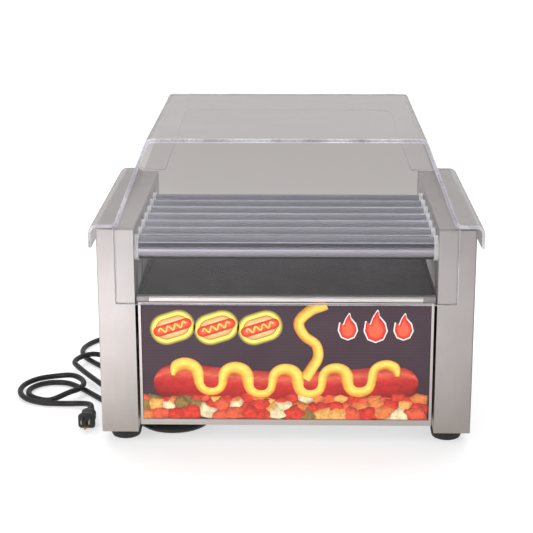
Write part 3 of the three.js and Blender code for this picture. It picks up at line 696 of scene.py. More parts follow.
def arc(centre, radii, angles, heights, count):
    """Points round an arc, in degrees, with the radius and the height changing evenly along it."""
    points = []
    for i in range(count):
        t = i / (count - 1)
        angle = math.radians(angles[0] + (angles[1] - angles[0]) * t)
        radius = radii[0] + (radii[1] - radii[0]) * t
        points.append((centre[0] + radius * math.cos(angle), centre[1] + radius * math.sin(angle),
                       heights[0] + (heights[1] - heights[0]) * t))
    return points


def halfway(p, q):
    return tuple((a + b) / 2 for a, b in zip(p, q))


def cord_route():
    """One and a half turns of a long flat hank, then one and a half turns of a round coil beside it."""
    rear, front, inner, outer = HANK["rear"], HANK["front"], HANK["inner"], HANK["outer"]
    across = math.degrees(math.atan2(rear[0] - front[0], front[1] - rear[1])) + 180
    flat = (LYING, LYING)
    raised = (CROSSING, CROSSING)
    first, second = (arc(front, (r, r), (across, across - 180), flat, 7) for r in (inner, outer))
    middle = (inner + outer) / 2
    over = (arc(rear, (inner, middle), (across + 180, HANK["over"]), raised, 4)
            + arc(rear, (middle + 2, outer), (HANK["down"], across), (LEAVING, 6), 4))
    centre, near, far = COIL["centre"], COIL["inner"], COIL["outer"]
    coil = (arc(centre, (near, near), COIL["first"], flat, 8)
            + arc(centre, (near + 3, far), COIL["over"], raised, 5)
            + arc(centre, (far, far), COIL["last"], (LEAVING, LYING), 6))
    return [*LEAD_IN, halfway(LEAD_IN[-1], first[0]), *first, halfway(first[-1], over[0]), *over,
            halfway(over[-1], second[0]), *second, *coil, *LEAD_OUT]


def smooth_route(points):
    """A centripetal Catmull-Rom curve through the points."""
    steps = 10
    points = [Vector(p) for p in points]
    padded = [2 * points[0] - points[1], *points, 2 * points[-1] - points[-2]]
    run = []
    for a, b, c, d in zip(padded, padded[1:], padded[2:], padded[3:]):
        before, here, after = ((q - p).length ** 0.5 for p, q in ((a, b), (b, c), (c, d)))
        leave = ((b - a) / before - (c - a) / (before + here) + (c - b) / here) * here
        arrive = ((c - b) / here - (d - b) / (here + after) + (d - c) / after) * here
        for k in range(steps):
            t = k / steps
            run.append(b * (2 * t**3 - 3 * t**2 + 1) + leave * (t**3 - 2 * t**2 + t)
                       + c * (3 * t**2 - 2 * t**3) + arrive * (t**3 - t**2))
    return [*run, points[-1]]


def mains_lead():
    """The cord, and the plug that goes with it."""
    route = smooth_route(cord_route())
    data = bpy.data.curves.new("cord", "CURVE")
    data.dimensions = "3D"
    data.bevel_depth = CORD_DIAMETER / 2 * MM
    data.bevel_resolution = 5
    data.use_fill_caps = True
    spline = data.splines.new("POLY")
    spline.points.add(len(route) - 1)
    for target, place in zip(spline.points, route):
        target.co = (*(place * MM), 1)
    spline.use_smooth = True
    data.materials.append(JACKET)
    cord = linked("cord", data)
    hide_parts("mains_cord")
    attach(cord, "frame")
    plug = mains_plug()


def plug_section(y, half_width, low, high, radius):
    """One rounded cross-section of the plug's shell, measured from the lead's middle."""
    x, z = PLUG[0], PLUG[2]
    outline = rounded(rectangle(x - half_width, x + half_width, z + low, z + high), radius, 5, closed=True)
    return [(a, y, b) for a, b in outline]


def plug_boot(x, start, z):
    """The plug's ribbed sleeve, which widens toward the plug."""
    rings = []
    for i in range(8):
        near = -2.1 * i
        radius = 6.3 + 0.28 * i
        rings += [(radius, near), (radius, near - 1.2), (radius - 1, near - 1.3), (radius - 1, near - 2)]
    bm = bmesh.new()
    turned(bm, [(4.8, 0.2), *rings, (4.8, -16.8)], "y", (x, 0, z), 40)
    for vertex in bm.verts:
        vertex.co.y += start * MM
    return piece("plug_boot", bm, PLASTIC, "frame", "black_plastic", sharp=40)


def mains_plug():
    """A moulded grounding plug, waisted for the fingers, with two blades and a round earth pin."""
    x, entry, z = PLUG
    start = entry - GAP
    shell, face = start - 15, start - 50
    profile = [(0, 8.5, -8, 8, 7), (3, 10.5, -10, 10, 8), (8, 12, -11.5, 11, 8), (16, 11.2, -11, 10.5, 7.5),
               (24, 11.6, -11.6, 10.8, 7), (30, 13.4, -12.6, 11.6, 6), (34, 13.8, -12.9, 11.9, 5.6),
               (34.9, 12.8, -12, 11, 5)]
    bm = bmesh.new()
    loft(bm, [plug_section(shell - back, *rest) for back, *rest in profile])
    body = piece("plug_body", bm, PLASTIC, "frame", "black_plastic", ["mains_plug"], sharp=50)
    boot = plug_boot(x, start, z)
    thickness, width, spacing = 1.6, 6.4, 12.6
    outlines = [rectangle(x + dx - thickness / 2, x + dx + thickness / 2, z, z + width)
                for dx in (-spacing / 2, spacing / 2)]
    blades = extruded("plug_blades", outlines, "y", (face - 17, face + 1), NICKEL, "frame", "chrome",
                      bevel=0.35)
    tip = face - 20
    round_end = [(2.4, tip + 1.8), (2, tip + 0.6), (1.2, tip + 0.1), (0, tip)]
    pin = lathed("plug_earth_pin", [(0, face + 1), (2.4, face + 1), *round_end], "y", (x, 0, z - 6),
                 BRASS, "frame", "chrome", sides=32)
    return [body, boot, blades, pin]


# ---- Housings ----
def outward(bm, centre):
    """Turns every face away from a point inside an open shell."""
    inside = Vector(centre) * MM
    bm.normal_update()
    for face in bm.faces:
        if face.normal.dot(face.calc_center_median() - inside) < 0:
            face.normal_flip()


def plate(bm, axis, across, up, along, hole=None):
    """A flat rectangle square to an axis, with an optional rectangular hole."""
    columns, rows = list(across), list(up)
    if hole:
        columns[1:1] = hole[0]
        rows[1:1] = hole[1]
    grid = [[bm.verts.new(point(axis, a, b, along)) for b in rows] for a in columns]
    for i in range(len(columns) - 1):
        for k in range(len(rows) - 1):
            if not (hole and i == 1 and k == 1):
                bm.faces.new((grid[i][k], grid[i + 1][k], grid[i + 1][k + 1], grid[i][k + 1]))


def fold_edges(bm, radius, steps=5):
    """Rounds the folds of a shell, and leaves its open rims and flat joints alone."""
    bmesh.ops.remove_doubles(bm, verts=bm.verts, dist=WELD * MM)
    flat = 0.5  # radians
    folds = [edge for edge in bm.edges if len(edge.link_faces) == 2 and edge.calc_face_angle() > flat]
    bmesh.ops.bevel(bm, geom=folds, offset=radius * MM, segments=steps, profile=0.5, affect="EDGES")


def side_cover(word, side):
    """Front, top, outer side and rear folded from one sheet."""
    x = sorted((side * INNER_HALF, side * OUTER_HALF))
    z = (FOOT_HEIGHT, HOUSING_TOP)
    half_width, half_height = SWITCH_HOLE
    switch = ((CONTROL_X - half_width, CONTROL_X + half_width),
              (SWITCH_Z - half_height, SWITCH_Z + half_height)) if side > 0 else None
    bm = bmesh.new()
    plate(bm, "y", x, z, FRONT)
    plate(bm, "y", x, z, REAR, switch)
    plate(bm, "z", x, (FRONT, REAR), HOUSING_TOP)
    plate(bm, "x", (FRONT, REAR), z, side * OUTER_HALF)
    outward(bm, (side * INNER_HALF, 0, FOOT_HEIGHT))
    fold_edges(bm, BEND)
    piece(f"{word}_cover", bm, STEEL_UP, "frame", "stainless", [f"{word}_side_cover"],
          bevel=0.3, solidify=SHEET, sharp=50)


def bearing_wall(word, side):
    """The housing's inner wall, with a hole for each roller's seal."""
    lift = 0.3  # how far it stands back from the CAD's face
    inward = 50  # from there to a point well inside the housing
    outline = rectangle(FRONT + SHEET + GAP, REAR - SHEET - GAP, FOOT_HEIGHT + SHEET + GAP,
                        HOUSING_TOP - SHEET - GAP)
    bm = bmesh.new()
    edges = []
    for loop in [outline] + [circle(y, ROLLER_Z, SEAL_RADIUS - 0.7) for y in ROLLER_YS]:
        ring = [bm.verts.new(point("x", a, b, side * (INNER_HALF + lift))) for a, b in loop]
        edges += [bm.edges.new((ring[i], ring[(i + 1) % len(ring)])) for i in range(len(ring))]
    bmesh.ops.triangle_fill(bm, edges=edges, use_beauty=True, use_dissolve=True)
    outward(bm, (side * (INNER_HALF + inward), 0, ROLLER_Z))
    # The wall's steel is a darker copy, as painted shade.
    piece(f"{word}_wall", bm, STEEL_PAINTED_SHADE, "frame", "stainless", [f"{word}_bearing_wall"],
          solidify=SHEET - lift)


def rubber_foot(word, centre):
    """A turned rubber foot that narrows toward its sole, and its stud."""
    top = FOOT_HEIGHT - GAP
    stud, stud_top = 4, FOOT_HEIGHT + 10
    side = [(4, 0), (3, 0.6), (1.6, 3.4), (0.5, 9), (0, 11), (0, top - 3), (0.7, top - 1), (2.4, top)]
    profile = [(0, 0), *((FOOT_RADIUS - inset, height) for inset, height in side), (stud, top),
               (stud, stud_top), (0, stud_top)]
    lathed(f"rubber_foot_{word}", profile, "z", (*centre, 0), RUBBER, "frame", "foot_rubber",
           [f"foot_{word}"])


# ---- Customer's side ----
def sign_frame():
    """Four mitred bars with softened edges round the graphic."""
    half, low, high = SIGN_OPENING["half"], SIGN_OPENING["bottom"], SIGN_OPENING["top"]
    outer = rectangle(-SIGN_HALF, SIGN_HALF, SIGN_BOTTOM, SIGN_TOP)
    inner = rectangle(-half, half, low, high)
    depth = (FRONT + 4, FRONT + 14)
    bars = [[outer[i - 1], outer[i], inner[i], inner[i - 1]] for i in (1, 2, 3, 0)]
    # The bars' steel is a lighter copy of the housings' steel, as painted light.
    extruded("sign_surround", bars, "y", depth, STEEL_PAINTED_LIGHT, "frame", "stainless", ["sign_frame"],
             bevel=1.5, segments=4)


def printed_shape(name, loops, material, height):
    """A flat printed shape that stands a hair's breadth proud. loops run inward, each (outline, across)."""
    bm = bmesh.new()
    layer = bm.verts.layers.float.new("across")
    rings = []
    for outline, across in loops:
        ring = [bm.verts.new(point("y", a, b, SIGN_FACE - height)) for a, b in outline]
        for vertex in ring:
            vertex[layer] = across
        rings.append(ring)
    ring_faces(bm, rings)
    bm.faces.new(rings[-1])
    skirt = [bm.verts.new(vertex.co + Vector((0, height * MM, 0))) for vertex in rings[0]]
    for old, new in zip(rings[0], skirt):
        new[layer] = old[layer]
    ring_faces(bm, [skirt, rings[0]])
    piece(name, bm, material, "frame", "graphic", sharp=60)


def ribbon(bm, run, widths, height):
    """A printed band along a run of points, raised in its middle and shaded across its width."""
    layer = bm.verts.layers.float.get("across") or bm.verts.layers.float.new("across")
    steps = 8
    rim = 0.35  # how high its edges stand, as a part of its height
    rows = []
    for i, here in enumerate(run):
        along = (run[min(i + 1, len(run) - 1)] - run[max(i - 1, 0)]).normalized()
        side = Vector((-along.y, along.x))
        row = []
        for k in range(steps + 1):
            t = k / steps
            place = here + side * widths[i] * (t - 0.5)
            crown = height * (rim + (1 - rim) * math.sin(math.pi * t))
            vertex = bm.verts.new(point("y", place.x, place.y, SIGN_FACE - crown))
            vertex[layer] = t
            row.append(vertex)
        rows.append(row)
    for near, far in zip(rows, rows[1:]):
        for i in range(steps):
            bm.faces.new((near[i], near[i + 1], far[i + 1], far[i]))


def smooth_line(points):
    return [Vector((p.x, p.y)) for p in smooth_route([(a, b, 0) for a, b in points])]


def sausage_line(x):
    """Height of the sausage's middle line: it sags between its two raised ends."""
    lowest, rise, reach = 87, 15, 210
    return lowest + rise * (x / reach) ** 2


def sausage_half_width(x):
    """It swells toward its ends, more on the left, and then closes to a blunt round tip."""
    bulge = 31 + 6 * (x / SAUSAGE_REACH) ** 2 - 2 * x / SAUSAGE_REACH
    return bulge * math.sqrt(max(0.0, 1 - (abs(x) / SAUSAGE_REACH) ** 9))


def sausage():
    """A plain sausage. Its sections stand closer together toward its round ends."""
    steps = 60
    xs = [SAUSAGE_REACH * math.sin(math.pi / 2 * (2 * i / steps - 1)) for i in range(steps + 1)]
    line = [Vector((x, sausage_line(x))) for x in xs]
    bm = bmesh.new()
    ribbon(bm, line, [2 * sausage_half_width(x) + 0.2 for x in xs], 0.7)
    piece("sign_sausage", bm, SAUSAGE, "frame", "graphic", sharp=60)


def mustard():
    """A squeezed line of mustard in even waves along the sausage, and one strand that falls onto it."""
    steps, waves, start, reach = 180, 4.5, -176, 350
    height, lift, swing, width = 1.25, 14, 21, 18
    line = []
    for i in range(steps + 1):
        t = i / steps
        x = start + reach * t
        up = math.sin(2 * math.pi * waves * t)
        line.append(Vector((x - 5 * math.sin(4 * math.pi * waves * t), sausage_line(x) + lift + swing * up)))
    widths = [(width + 3 * math.sin(i / 7)) * min(1, (i + 3) / 8, (len(line) - i + 2) / 8)
              for i in range(len(line))]
    strand = smooth_line([(62, 229), (36, 217), (20, 198), (28, 178), (47, 162), (50, 142), (40, 123),
                          (30, 106)])
    bm = bmesh.new()
    ribbon(bm, line, widths, height)
    ribbon(bm, strand, [19 - 3 * math.sin(3 * i / len(strand)) for i in range(len(strand))], height)
    piece("sign_mustard", bm, MUSTARD, "frame", "graphic", sharp=60)


def chunk_outline(rng, centre, size, corners, turn):
    """A rounded, uneven polygon, wider than it is high."""
    outline = []
    for i in range(corners):
        angle = turn + 2 * math.pi * i / corners
        reach = size * rng.uniform(0.8, 1.15)
        outline.append((centre.x + 1.15 * reach * math.cos(angle), centre.y + 0.85 * reach * math.sin(angle)))
    return rounded(outline, 2.5, 3, closed=True)


def vegetables():
    """A bed of chopped pieces along the bottom of the graphic, larger toward the front."""
    rng = random.Random(11)
    bm = bmesh.new()
    across_layer = bm.verts.layers.float.new("across")
    kind_layer = bm.verts.layers.float.new("kind")
    low, half = SIGN_OPENING["bottom"] + 0.5, SIGN_OPENING["half"] - 0.6
    for row, (level, size) in enumerate(((30, 15), (19, 18), (6, 21))):
        x = -half
        while x < half:
            centre = Vector((x, low + level + rng.uniform(-4, 5)))
            kind = rng.random()
            corners = rng.choice((4, 5, 5, 6))
            turn = rng.uniform(0, 6)
            height = 0.8 + 0.25 * row + rng.uniform(0, 0.15)
            outline = chunk_outline(rng, centre, size, corners, turn)
            rings = []
            for shrink, across in ((1, 0), (0.82, 0.4), (0.4, 1)):
                ring = []
                for corner in outline:
                    place = centre + (Vector(corner) - centre) * shrink
                    place.x = max(-half, min(half, place.x))
                    place.y = max(low, place.y)
                    along = SIGN_FACE - height + 0.4 * (1 - across)
                    vertex = bm.verts.new(point("y", place.x, place.y, along))
                    vertex[across_layer], vertex[kind_layer] = across, kind
                    ring.append(vertex)
                rings.append(ring)
            ring_faces(bm, rings)
            bm.faces.new(rings[-1])
            x += size * rng.uniform(0.95, 1.35)
    piece("sign_vegetables", bm, VEGETABLES, "frame", "graphic", sharp=80)


def capsule(x, z, half_width, half_height):
    return soft_rectangle(x, z, half_width, half_height, min(half_width, half_height) * 0.98, 7)


def leaning(outline, x, z, degrees):
    """Turns an outline about a point."""
    turn = Matrix.Rotation(math.radians(degrees), 2)
    return [tuple(Vector((x, z)) + turn @ (Vector(p) - Vector((x, z)))) for p in outline]


def small_hot_dogs():
    """Plain decoration in place of the heading: three small hot dogs, each in a yellow glow."""
    count, first, pitch, lean = 3, -176, 68, 18
    layers = (("glow", (27, 17), GLOW, 0.3, ((9, 0), (6, 0.42), (3.5, 0.9), (1, 1))),
              ("bun", (27, 17), BUN, 0.5, ((0, 0), (-3, 0.6), (-8, 1))),
              ("link", (31, 8.5), EMBLEM, 0.7, ((0, 0), (-3, 0.5), (-6, 1))))
    steps = 40
    for i in range(count):
        x = first + pitch * i
        for word, (half_width, half_height), material, height, loops in layers:
            outlines = [(leaning(capsule(x, EMBLEM_Z, half_width + grow, half_height + grow),
                                 x, EMBLEM_Z, lean), across) for grow, across in loops]
            printed_shape(f"sign_{word}_{i + 1}", outlines, material, height)
        line = [Vector((x - 22 + 44 * k / steps, EMBLEM_Z + 4 * math.sin(k / steps * 7 * math.pi)))
                for k in range(steps + 1)]
        bm = bmesh.new()
        ribbon(bm, [Vector(p) for p in leaning(line, x, EMBLEM_Z, lean)], [4.6] * len(line), 1.0)
        piece(f"sign_line_{i + 1}", bm, MUSTARD, "frame", "graphic", sharp=60)


def flame(x, z, size, grow=0.0):
    """A plain flame with one tall tongue and a short one beside it."""
    loop = [(0.14, 1.35), (0.24, 0.82), (0.62, 0.35), (0.76, -0.2), (0.52, -0.78), (0, -1), (-0.52, -0.78),
            (-0.76, -0.2), (-0.66, 0.55), (-0.36, 0.2), (-0.2, 0.75)]
    run = []
    for a, b in loop:
        reach = math.hypot(a, b)
        run.append((x + a * (size + grow / reach), z + b * (size + grow / reach)))
    return rounded(run, 1.2, 3, closed=True)


def flames():
    """Plain decoration in place of the badge: three flames, each with a pale edge."""
    first, pitch = 96, 43
    for i, size in enumerate((18, 22, 18)):
        x = first + pitch * i
        printed_shape(f"sign_flame_edge_{i + 1}", [(flame(x, EMBLEM_Z, size, 2.2), 1.0)], PAPER_WHITE, 0.3)
        printed_shape(f"sign_flame_{i + 1}",
                      [(flame(x, EMBLEM_Z, size), 0.0), (flame(x, EMBLEM_Z - 2, size * 0.55), 1.0)],
                      EMBLEM, 0.6)


def sign_panel():
    """The board and everything printed on it."""
    half, low, high = SIGN_OPENING["half"], SIGN_OPENING["bottom"], SIGN_OPENING["top"]
    extruded("sign_board", [rectangle(GAP - half, half - GAP, low + GAP, high - GAP)], "y",
             (SIGN_FACE, SIGN_FACE + SHEET), SIGN_GROUND, "frame", "graphic", ["sign_panel"], bevel=0.2)
    sausage()
    mustard()
    vegetables()
    small_hot_dogs()
    flames()


# ---- Pieces that pull out on the operator's side ----
def open_pan(half, depth, height, ends):
    """The floor, the sides and one or two ends of a folded pan that is open at its top."""
    bm = bmesh.new()
    plate(bm, "z", (-half, half), depth, height[0])
    for x in (-half, half):
        plate(bm, "x", depth, height, x)
    for y in ends:
        plate(bm, "y", (-half, half), height, y)
    outward(bm, (0, 0, height[1]))
    return bm


def drip_tray():
    """A shallow folded pan with a lip on the customer's side, painted near white as painted light, and a pull
    on the operator's.
    """
    front, rear = FRONT + 15, REAR - 8
    bm = open_pan(INNER_HALF - 4, (front, rear), (TRAY_FLOOR, TRAY_TOP), (rear, front))
    fold_edges(bm, 1.6, 4)
    piece("tray_pan", bm, TRAY_STEEL_PAINTED_SHADE, "drip_tray", "dark_steel", ["drip_tray"], bevel=0.2, solidify=1.5,
          sharp=50)

    lip_half, lip_front = INNER_HALF - 2.5, FRONT + 5
    nose = rounded([(front + 1.5, TRAY_TOP - 1), (lip_front, TRAY_TOP - 1), (lip_front, SIGN_TOP + 1.4)], 2.2)
    extruded("tray_lip", [sheet_outline(nose, SHEET)], "x", (-lip_half, lip_half), STEEL_LIP_PAINTED_LIGHT, "drip_tray",
             "stainless", bevel=0.4)
    folds = []
    for side in (-1, 1):
        ends = sorted((side * (lip_half - 19), side * (lip_half + 0.4)))
        folds.append(rounded(rectangle(*ends, SIGN_TOP + 0.9, TRAY_TOP - 0.6), 1.6, 4, closed=True))
    # The folded ends are a darker copy of the steel, as painted shade.
    extruded("tray_lip_folds", folds, "y", (FRONT + 3.5, FRONT + 4.6), STEEL_PAINTED_DARK_SHADE, "drip_tray", "stainless",
             bevel=0.3)

    pull_half, pull_rear = 60, REAR + 9
    pull = rounded([(rear - 1, TRAY_FLOOR + 1), (pull_rear, TRAY_FLOOR + 1), (pull_rear, TRAY_FLOOR + 9)], 2)
    extruded("tray_pull", [sheet_outline(pull, SHEET)], "x", (-pull_half, pull_half), STEEL_ACROSS,
             "drip_tray", "stainless", bevel=0.5)


def bun_drawer():
    """An open folded box behind a taller face."""
    back = DRAWER_REAR - SHEET
    bm = open_pan(DRAWER_HALF, (DRAWER_FRONT, back), (DRAWER_BOTTOM, DRAWER_TOP), (DRAWER_FRONT,))
    fold_edges(bm, 4)
    # The box's steel is a darker copy, as painted shade.
    piece("drawer_box", bm, STEEL_PAINTED_SHADE, "bun_drawer", "stainless", ["bun_drawer"], bevel=0.3, solidify=SHEET,
          sharp=50)
    face = rectangle(-DRAWER_HALF, DRAWER_HALF, DRAWER_BOTTOM, DRAWER_FACE_TOP)
    extruded("drawer_face", [face], "y", (back, DRAWER_REAR), STEEL_ACROSS, "bun_drawer", "stainless",
             bevel=0.8, segments=3)


def drawer_handle():
    """A round-edged bar on two posts."""
    start, end = DRAWER_REAR + GAP, REAR + 26.3
    depth, half_height, half_length = 8, 5, 59
    post, spread = 4, 55
    bm = bmesh.new()
    bar = rectangle(end - depth, end, HANDLE_Z - half_height, HANDLE_Z + half_height)
    prism(bm, rounded(bar, 3.4, 6, closed=True), "x", -half_length, half_length)
    for x in (-spread, spread):
        prism(bm, soft_rectangle(x, HANDLE_Z, post, post, 2.5, 5), "y", start, end - 4)
    piece("handle_bar", bm, PLASTIC, "bun_drawer", "black_plastic", ["drawer_handle"], bevel=0.8, segments=3)


# ---- Guard ----
def guard_piece(name, outline, ends, solid, is_edge):
    """A clear sheet whose sawn edges, the faces that is_edge picks by normal and centre, are painted paler,
    partly as painted light.
    """
    obj = extruded(name, [outline], "y", ends, ACRYLIC, "guard", "acrylic", [solid], bevel=0.8, sharp=50)
    for material in (ACRYLIC_EDGE_PAINTED_LIGHT, ACRYLIC_CORNER_HIGHLIGHT):
        obj.data.materials.append(material)
    # Slot 2 holds the corners' painted highlight.
    obj.modifiers["edges"].material = 2  # the corner's slot
    for face in obj.data.polygons:
        face.material_index = int(is_edge(face.normal, face.center / MM))


def guard_hood():
    """One bent sheet: hanging lips, flat flanges, slanted sides and the top."""
    half = GUARD_SHEET / 2
    right = [(GUARD_TOP_HALF - half, GUARD_TOP - half), (GUARD_FOOT_HALF - half, GUARD_BASE + half),
             (GUARD_LIP_HALF - half, GUARD_BASE + half), (GUARD_LIP_HALF - half, GUARD_LIP_BOTTOM)]
    left = [(-x, z) for x, z in reversed(right)]
    guard_piece("hood", sheet_outline(rounded(left + right, 11, 8), GUARD_SHEET),
                (GUARD_FRONT + GUARD_SHEET + 0.1, REAR + 0.9), "guard_hood",
                lambda normal, centre: abs(normal.y) > 0.9 or centre.z < GUARD_LIP_BOTTOM + 1)


def guard_front():
    """The flat front panel, which steps in above the flanges."""
    shoulder = GUARD_BASE + GUARD_SHEET
    step = Vector((GUARD_FOOT_HALF - GUARD_PANEL_STEP, shoulder))
    top = Vector((GUARD_TOP_HALF - GUARD_PANEL_INSET, GUARD_TOP - GUARD_PANEL_INSET))
    slope = (step + top) / 2
    right = (rounded([(0, GUARD_PANEL_BOTTOM), (GUARD_FOOT_HALF, GUARD_PANEL_BOTTOM),
                      (GUARD_FOOT_HALF, shoulder), step, slope], 2.5)
             + rounded([slope, top, (0, top.y)], 9)[1:])
    left = [(-x, z) for x, z in right[-2:0:-1]]
    guard_piece("front_shield", right + left, (GUARD_FRONT, GUARD_FRONT + GUARD_SHEET),
                "guard_front_panel", lambda normal, centre: abs(normal.y) < 0.5)


def guard_rear():
    """The rear arch leaves a wide opening for the operator's tongs."""
    foot, top, height = GUARD_FOOT_HALF - 43, GUARD_TOP_HALF - 30, GUARD_TOP - 33
    base = GUARD_BASE + 1
    inner = rounded([(foot, base), (top, height), (-top, height), (-foot, base)], 18, 8)
    outer = rounded([(-GUARD_FOOT_HALF, base), (-GUARD_TOP_HALF, GUARD_TOP), (GUARD_TOP_HALF, GUARD_TOP),
                     (GUARD_FOOT_HALF, base)], 8, 6)
    guard_piece("rear_arch", outer + inner, (GUARD_REAR - GUARD_SHEET, GUARD_REAR), "guard_rear_arch",
                lambda normal, centre: abs(normal.y) < 0.5)


# ---- Rollers ----
def sprocket_outline(y, z):
    """Flat-topped teeth round a centre."""
    run = []
    for i in range(2 * SPROCKET_TEETH):
        radius = SPROCKET_ROOT if i % 2 else SPROCKET_TIP
        for lean in (-0.3, 0.3):
            angle = math.pi * (i + lean) / SPROCKET_TEETH
            run.append((y + radius * math.cos(angle), z + radius * math.sin(angle)))
    return run


def roller(number, y):
    """A plated tube with softened shoulders, turned hubs and its sprocket."""
    shoulder = INNER_HALF + 4
    left, right = -shoulder - 10, SPROCKET_X + SPROCKET_WIDTH + 3
    hub, bore, tube_bore = 12, 7, 15.5
    body = f"roller_{number}"
    lathed(f"roller_tube_{number}",
           [(bore, left), (hub, left), (hub, -shoulder), (ROLLER_RADIUS - 1, -shoulder),
            (ROLLER_RADIUS, 1 - shoulder), (ROLLER_RADIUS, shoulder - 1), (ROLLER_RADIUS - 1, shoulder),
            (hub, shoulder), (hub, right), (bore, right), (bore, shoulder - SHEET),
            (tube_bore, shoulder - SHEET), (tube_bore, SHEET - shoulder), (bore, SHEET - shoulder)],
           "x", (0, y, ROLLER_Z), CHROME, body, "chrome", [body], sides=96, sharp=25)
    extruded(f"roller_sprocket_{number}", [sprocket_outline(y, ROLLER_Z)], "x",
             (SPROCKET_X, SPROCKET_X + SPROCKET_WIDTH), GALVANISED, body, "galvanised", bevel=0.4)


def roller_seal(word, side, number, y):
    """A white flanged sleeve with two raised bands at the roller's end."""
    bore = ROLLER_RADIUS + 0.4
    neck = SEAL_RADIUS - 1.5
    face = INNER_HALF - GAP
    tip = face - 6
    back = INNER_HALF + SHEET + 1
    profile = [(bore, tip), (SEAL_RADIUS - 0.5, tip), (SEAL_RADIUS, tip + 0.5), (SEAL_RADIUS, tip + 1.9),
               (neck, tip + 2.3), (neck, tip + 3.7), (SEAL_RADIUS, tip + 4.1), (SEAL_RADIUS, face),
               (SEAL_RADIUS - 1, face), (SEAL_RADIUS - 1, back), (bore, back)]
    lathed(f"seal_{word}_{number}", [(r, side * h) for r, h in profile], "x", (0, y, ROLLER_Z),
           SEAL_WHITE, "frame", "seal_white", [f"roller_seal_{word}_{number}"])


# ---- Controls on the right housing's rear face ----
def thermostat_knob(number, z):
    """A skirted knob with a bar to grip, a white pointer and heat marks on its skirt."""
    back = REAR + 0.6
    half_grip, reach, grip_top = 3.5, 15, back + 17
    body = f"thermostat_knob_{number}"
    bm = bmesh.new()
    turned(bm, [(0, back - 11), (3, back - 11), (3, back), (16.4, back), (17, back + 0.6), (16.4, back + 4),
                (15.4, back + 5), (13, back + 5.4), (0, back + 5.6)], "y", (CONTROL_X, 0, z))
    prism(bm, soft_rectangle(CONTROL_X, z, half_grip, reach, 3.3, 6), "y", back + 4.5, grip_top)
    piece(f"knob_{number}", bm, PLASTIC, body, "black_plastic", [body], bevel=0.9, segments=3)

    bm = bmesh.new()
    block(bm, (CONTROL_X - 0.7, CONTROL_X + 0.7), (back + 16.5, back + 17.1), (z + 4, z + 14))
    marks, spacing = 9, 30
    inner, outer, half = 13.2, 15.2, 0.35
    for i in range(marks):
        angle = math.radians(90 - spacing * i)
        along = Vector((math.cos(angle), math.sin(angle)))
        side = Vector((-along.y, along.x)) * half
        corners = [along * inner - side, along * outer - side, along * outer + side, along * inner + side]
        prism(bm, [(CONTROL_X + c.x, z + c.y) for c in corners], "y", back + 4.6, back + 5.55)
    piece(f"knob_marks_{number}", bm, MARKING, body, "seal_white")


def switch_bezel():
    """A rounded frame with a deep shell behind it, open in front for the rocker."""
    face = REAR + GAP
    outer, inner, shell = (soft_rectangle(CONTROL_X, SWITCH_Z, *sizes, 5)
                           for sizes in ((9.5, 16, 2.4), (6, 11.8, 1), (7.5, 13, 1.4)))
    loops = [(shell, face - 20), (shell, face), (outer, face), (outer, face + 1.6), (inner, face + 2),
             (inner, face - 14)]
    bm = bmesh.new()
    rings = [[bm.verts.new(point("y", a, b, along)) for a, b in loop] for loop, along in loops]
    ring_faces(bm, rings)
    bm.faces.new(rings[0])
    bm.faces.new(rings[-1])
    piece("switch_surround", bm, PLASTIC, "frame", "black_plastic", ["switch_bezel"], bevel=0.3)


def switch_rocker():
    """A round-backed rocker about its pivot, notched in front and tipped to one side."""
    pivot, radius, half_angle, notch = REAR - 0.5, 11, 65, 3
    steps = 24
    tip = math.radians(-ROCKER_TILT)
    outline = [(pivot + notch * math.cos(tip), SWITCH_Z + notch * math.sin(tip))]
    for i in range(steps + 1):
        angle = math.radians(half_angle + (360 - 2 * half_angle) * i / steps - ROCKER_TILT)
        outline.append((pivot + radius * math.cos(angle), SWITCH_Z + radius * math.sin(angle)))
    extruded("rocker", [outline], "x", (CONTROL_X - 5.5, CONTROL_X + 5.5), PLASTIC, "switch_rocker",
             "black_plastic", ["switch_rocker"], bevel=0.35, sharp=40)


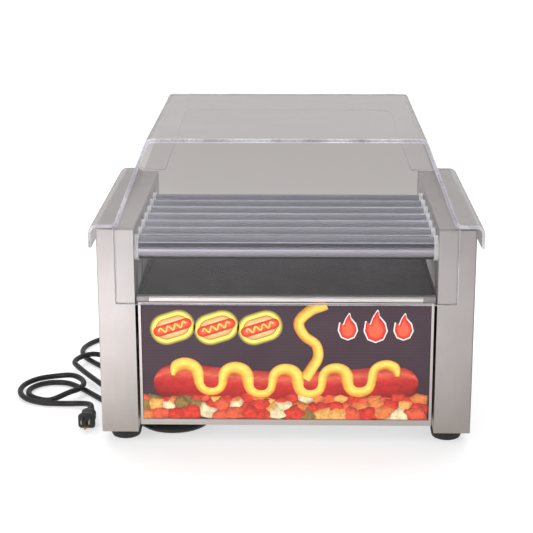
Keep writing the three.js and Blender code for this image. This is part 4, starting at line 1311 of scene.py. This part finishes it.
def pilot_lamp():
    """A round amber lens with a domed face."""
    face = REAR + GAP
    lathed("lamp_lens",
           [(0, face - 12), (3.7, face - 12), (3.7, face), (6, face), (6, face + 0.8), (5.4, face + 2.4),
            (4.2, face + 3.6), (2.4, face + 4.3), (0, face + 4.5)],
           "y", (CONTROL_X, 0, LAMP_Z), AMBER, "frame", "amber_lens", ["pilot_lamp"], sharp=50)


def strain_relief():
    """A tapered rubber boot with ribs, clamped in the left housing's rear face."""
    face = REAR + GAP
    ribs = []
    for i in range(7):
        start, radius = face + 6 + 4 * i, 8 - 0.3 * i
        ribs += [(radius, start), (radius - 0.1, start + 2.4), (radius - 1.1, start + 2.7),
                 (radius - 1.1, start + 3.7)]
    lathed("cord_boot",
           [(0, face - 8), (7, face - 8), (7, face), (11, face), (11, face + 3.2), (10.2, face + 4),
            (8.2, face + 4.6), *ribs, (5.6, BOOT_END - 0.6), (5.1, BOOT_END), (0, BOOT_END)],
           "y", (CORD_EXIT[0], 0, CORD_EXIT[1]), RUBBER, "frame", "black_plastic", ["strain_relief"],
           sides=48, sharp=40)


def finish_hidden_parts():
    """The parts inside keep their CAD shapes, and get finished materials."""
    finishes = {GALVANISED: ("base_pan", "left_drawer_rail", "right_drawer_rail", "motor_sprocket",
                             "thermostat_1", "thermostat_2"),
                TRAY_STEEL_PAINTED_SHADE: ("tray_deck", "heater_rods", "drive_chain"),
                MOTOR_PAINT: ("gear_motor",)}
    for material, names in finishes.items():
        for name in names:
            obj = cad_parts[name]
            obj.data.materials.clear()
            obj.data.materials.append(material)


# ---- The grill ----
camera()
floor()
room()
lights()
mains_lead()
for word, side in SIDES:
    side_cover(word, side)
    bearing_wall(word, side)
for word, centre in FOOT_CENTRES.items():
    rubber_foot(word, centre)
sign_frame()
sign_panel()
drip_tray()
bun_drawer()
drawer_handle()
guard_hood()
guard_front()
guard_rear()
for index, y in enumerate(ROLLER_YS):
    roller(index + 1, y)
    for word, side in SIDES:
        roller_seal(word, side, index + 1, y)
for index, z in enumerate(KNOB_HEIGHTS):
    thermostat_knob(index + 1, z)
switch_bezel()
switch_rocker()
pilot_lamp()
strain_relief()
finish_hidden_parts()
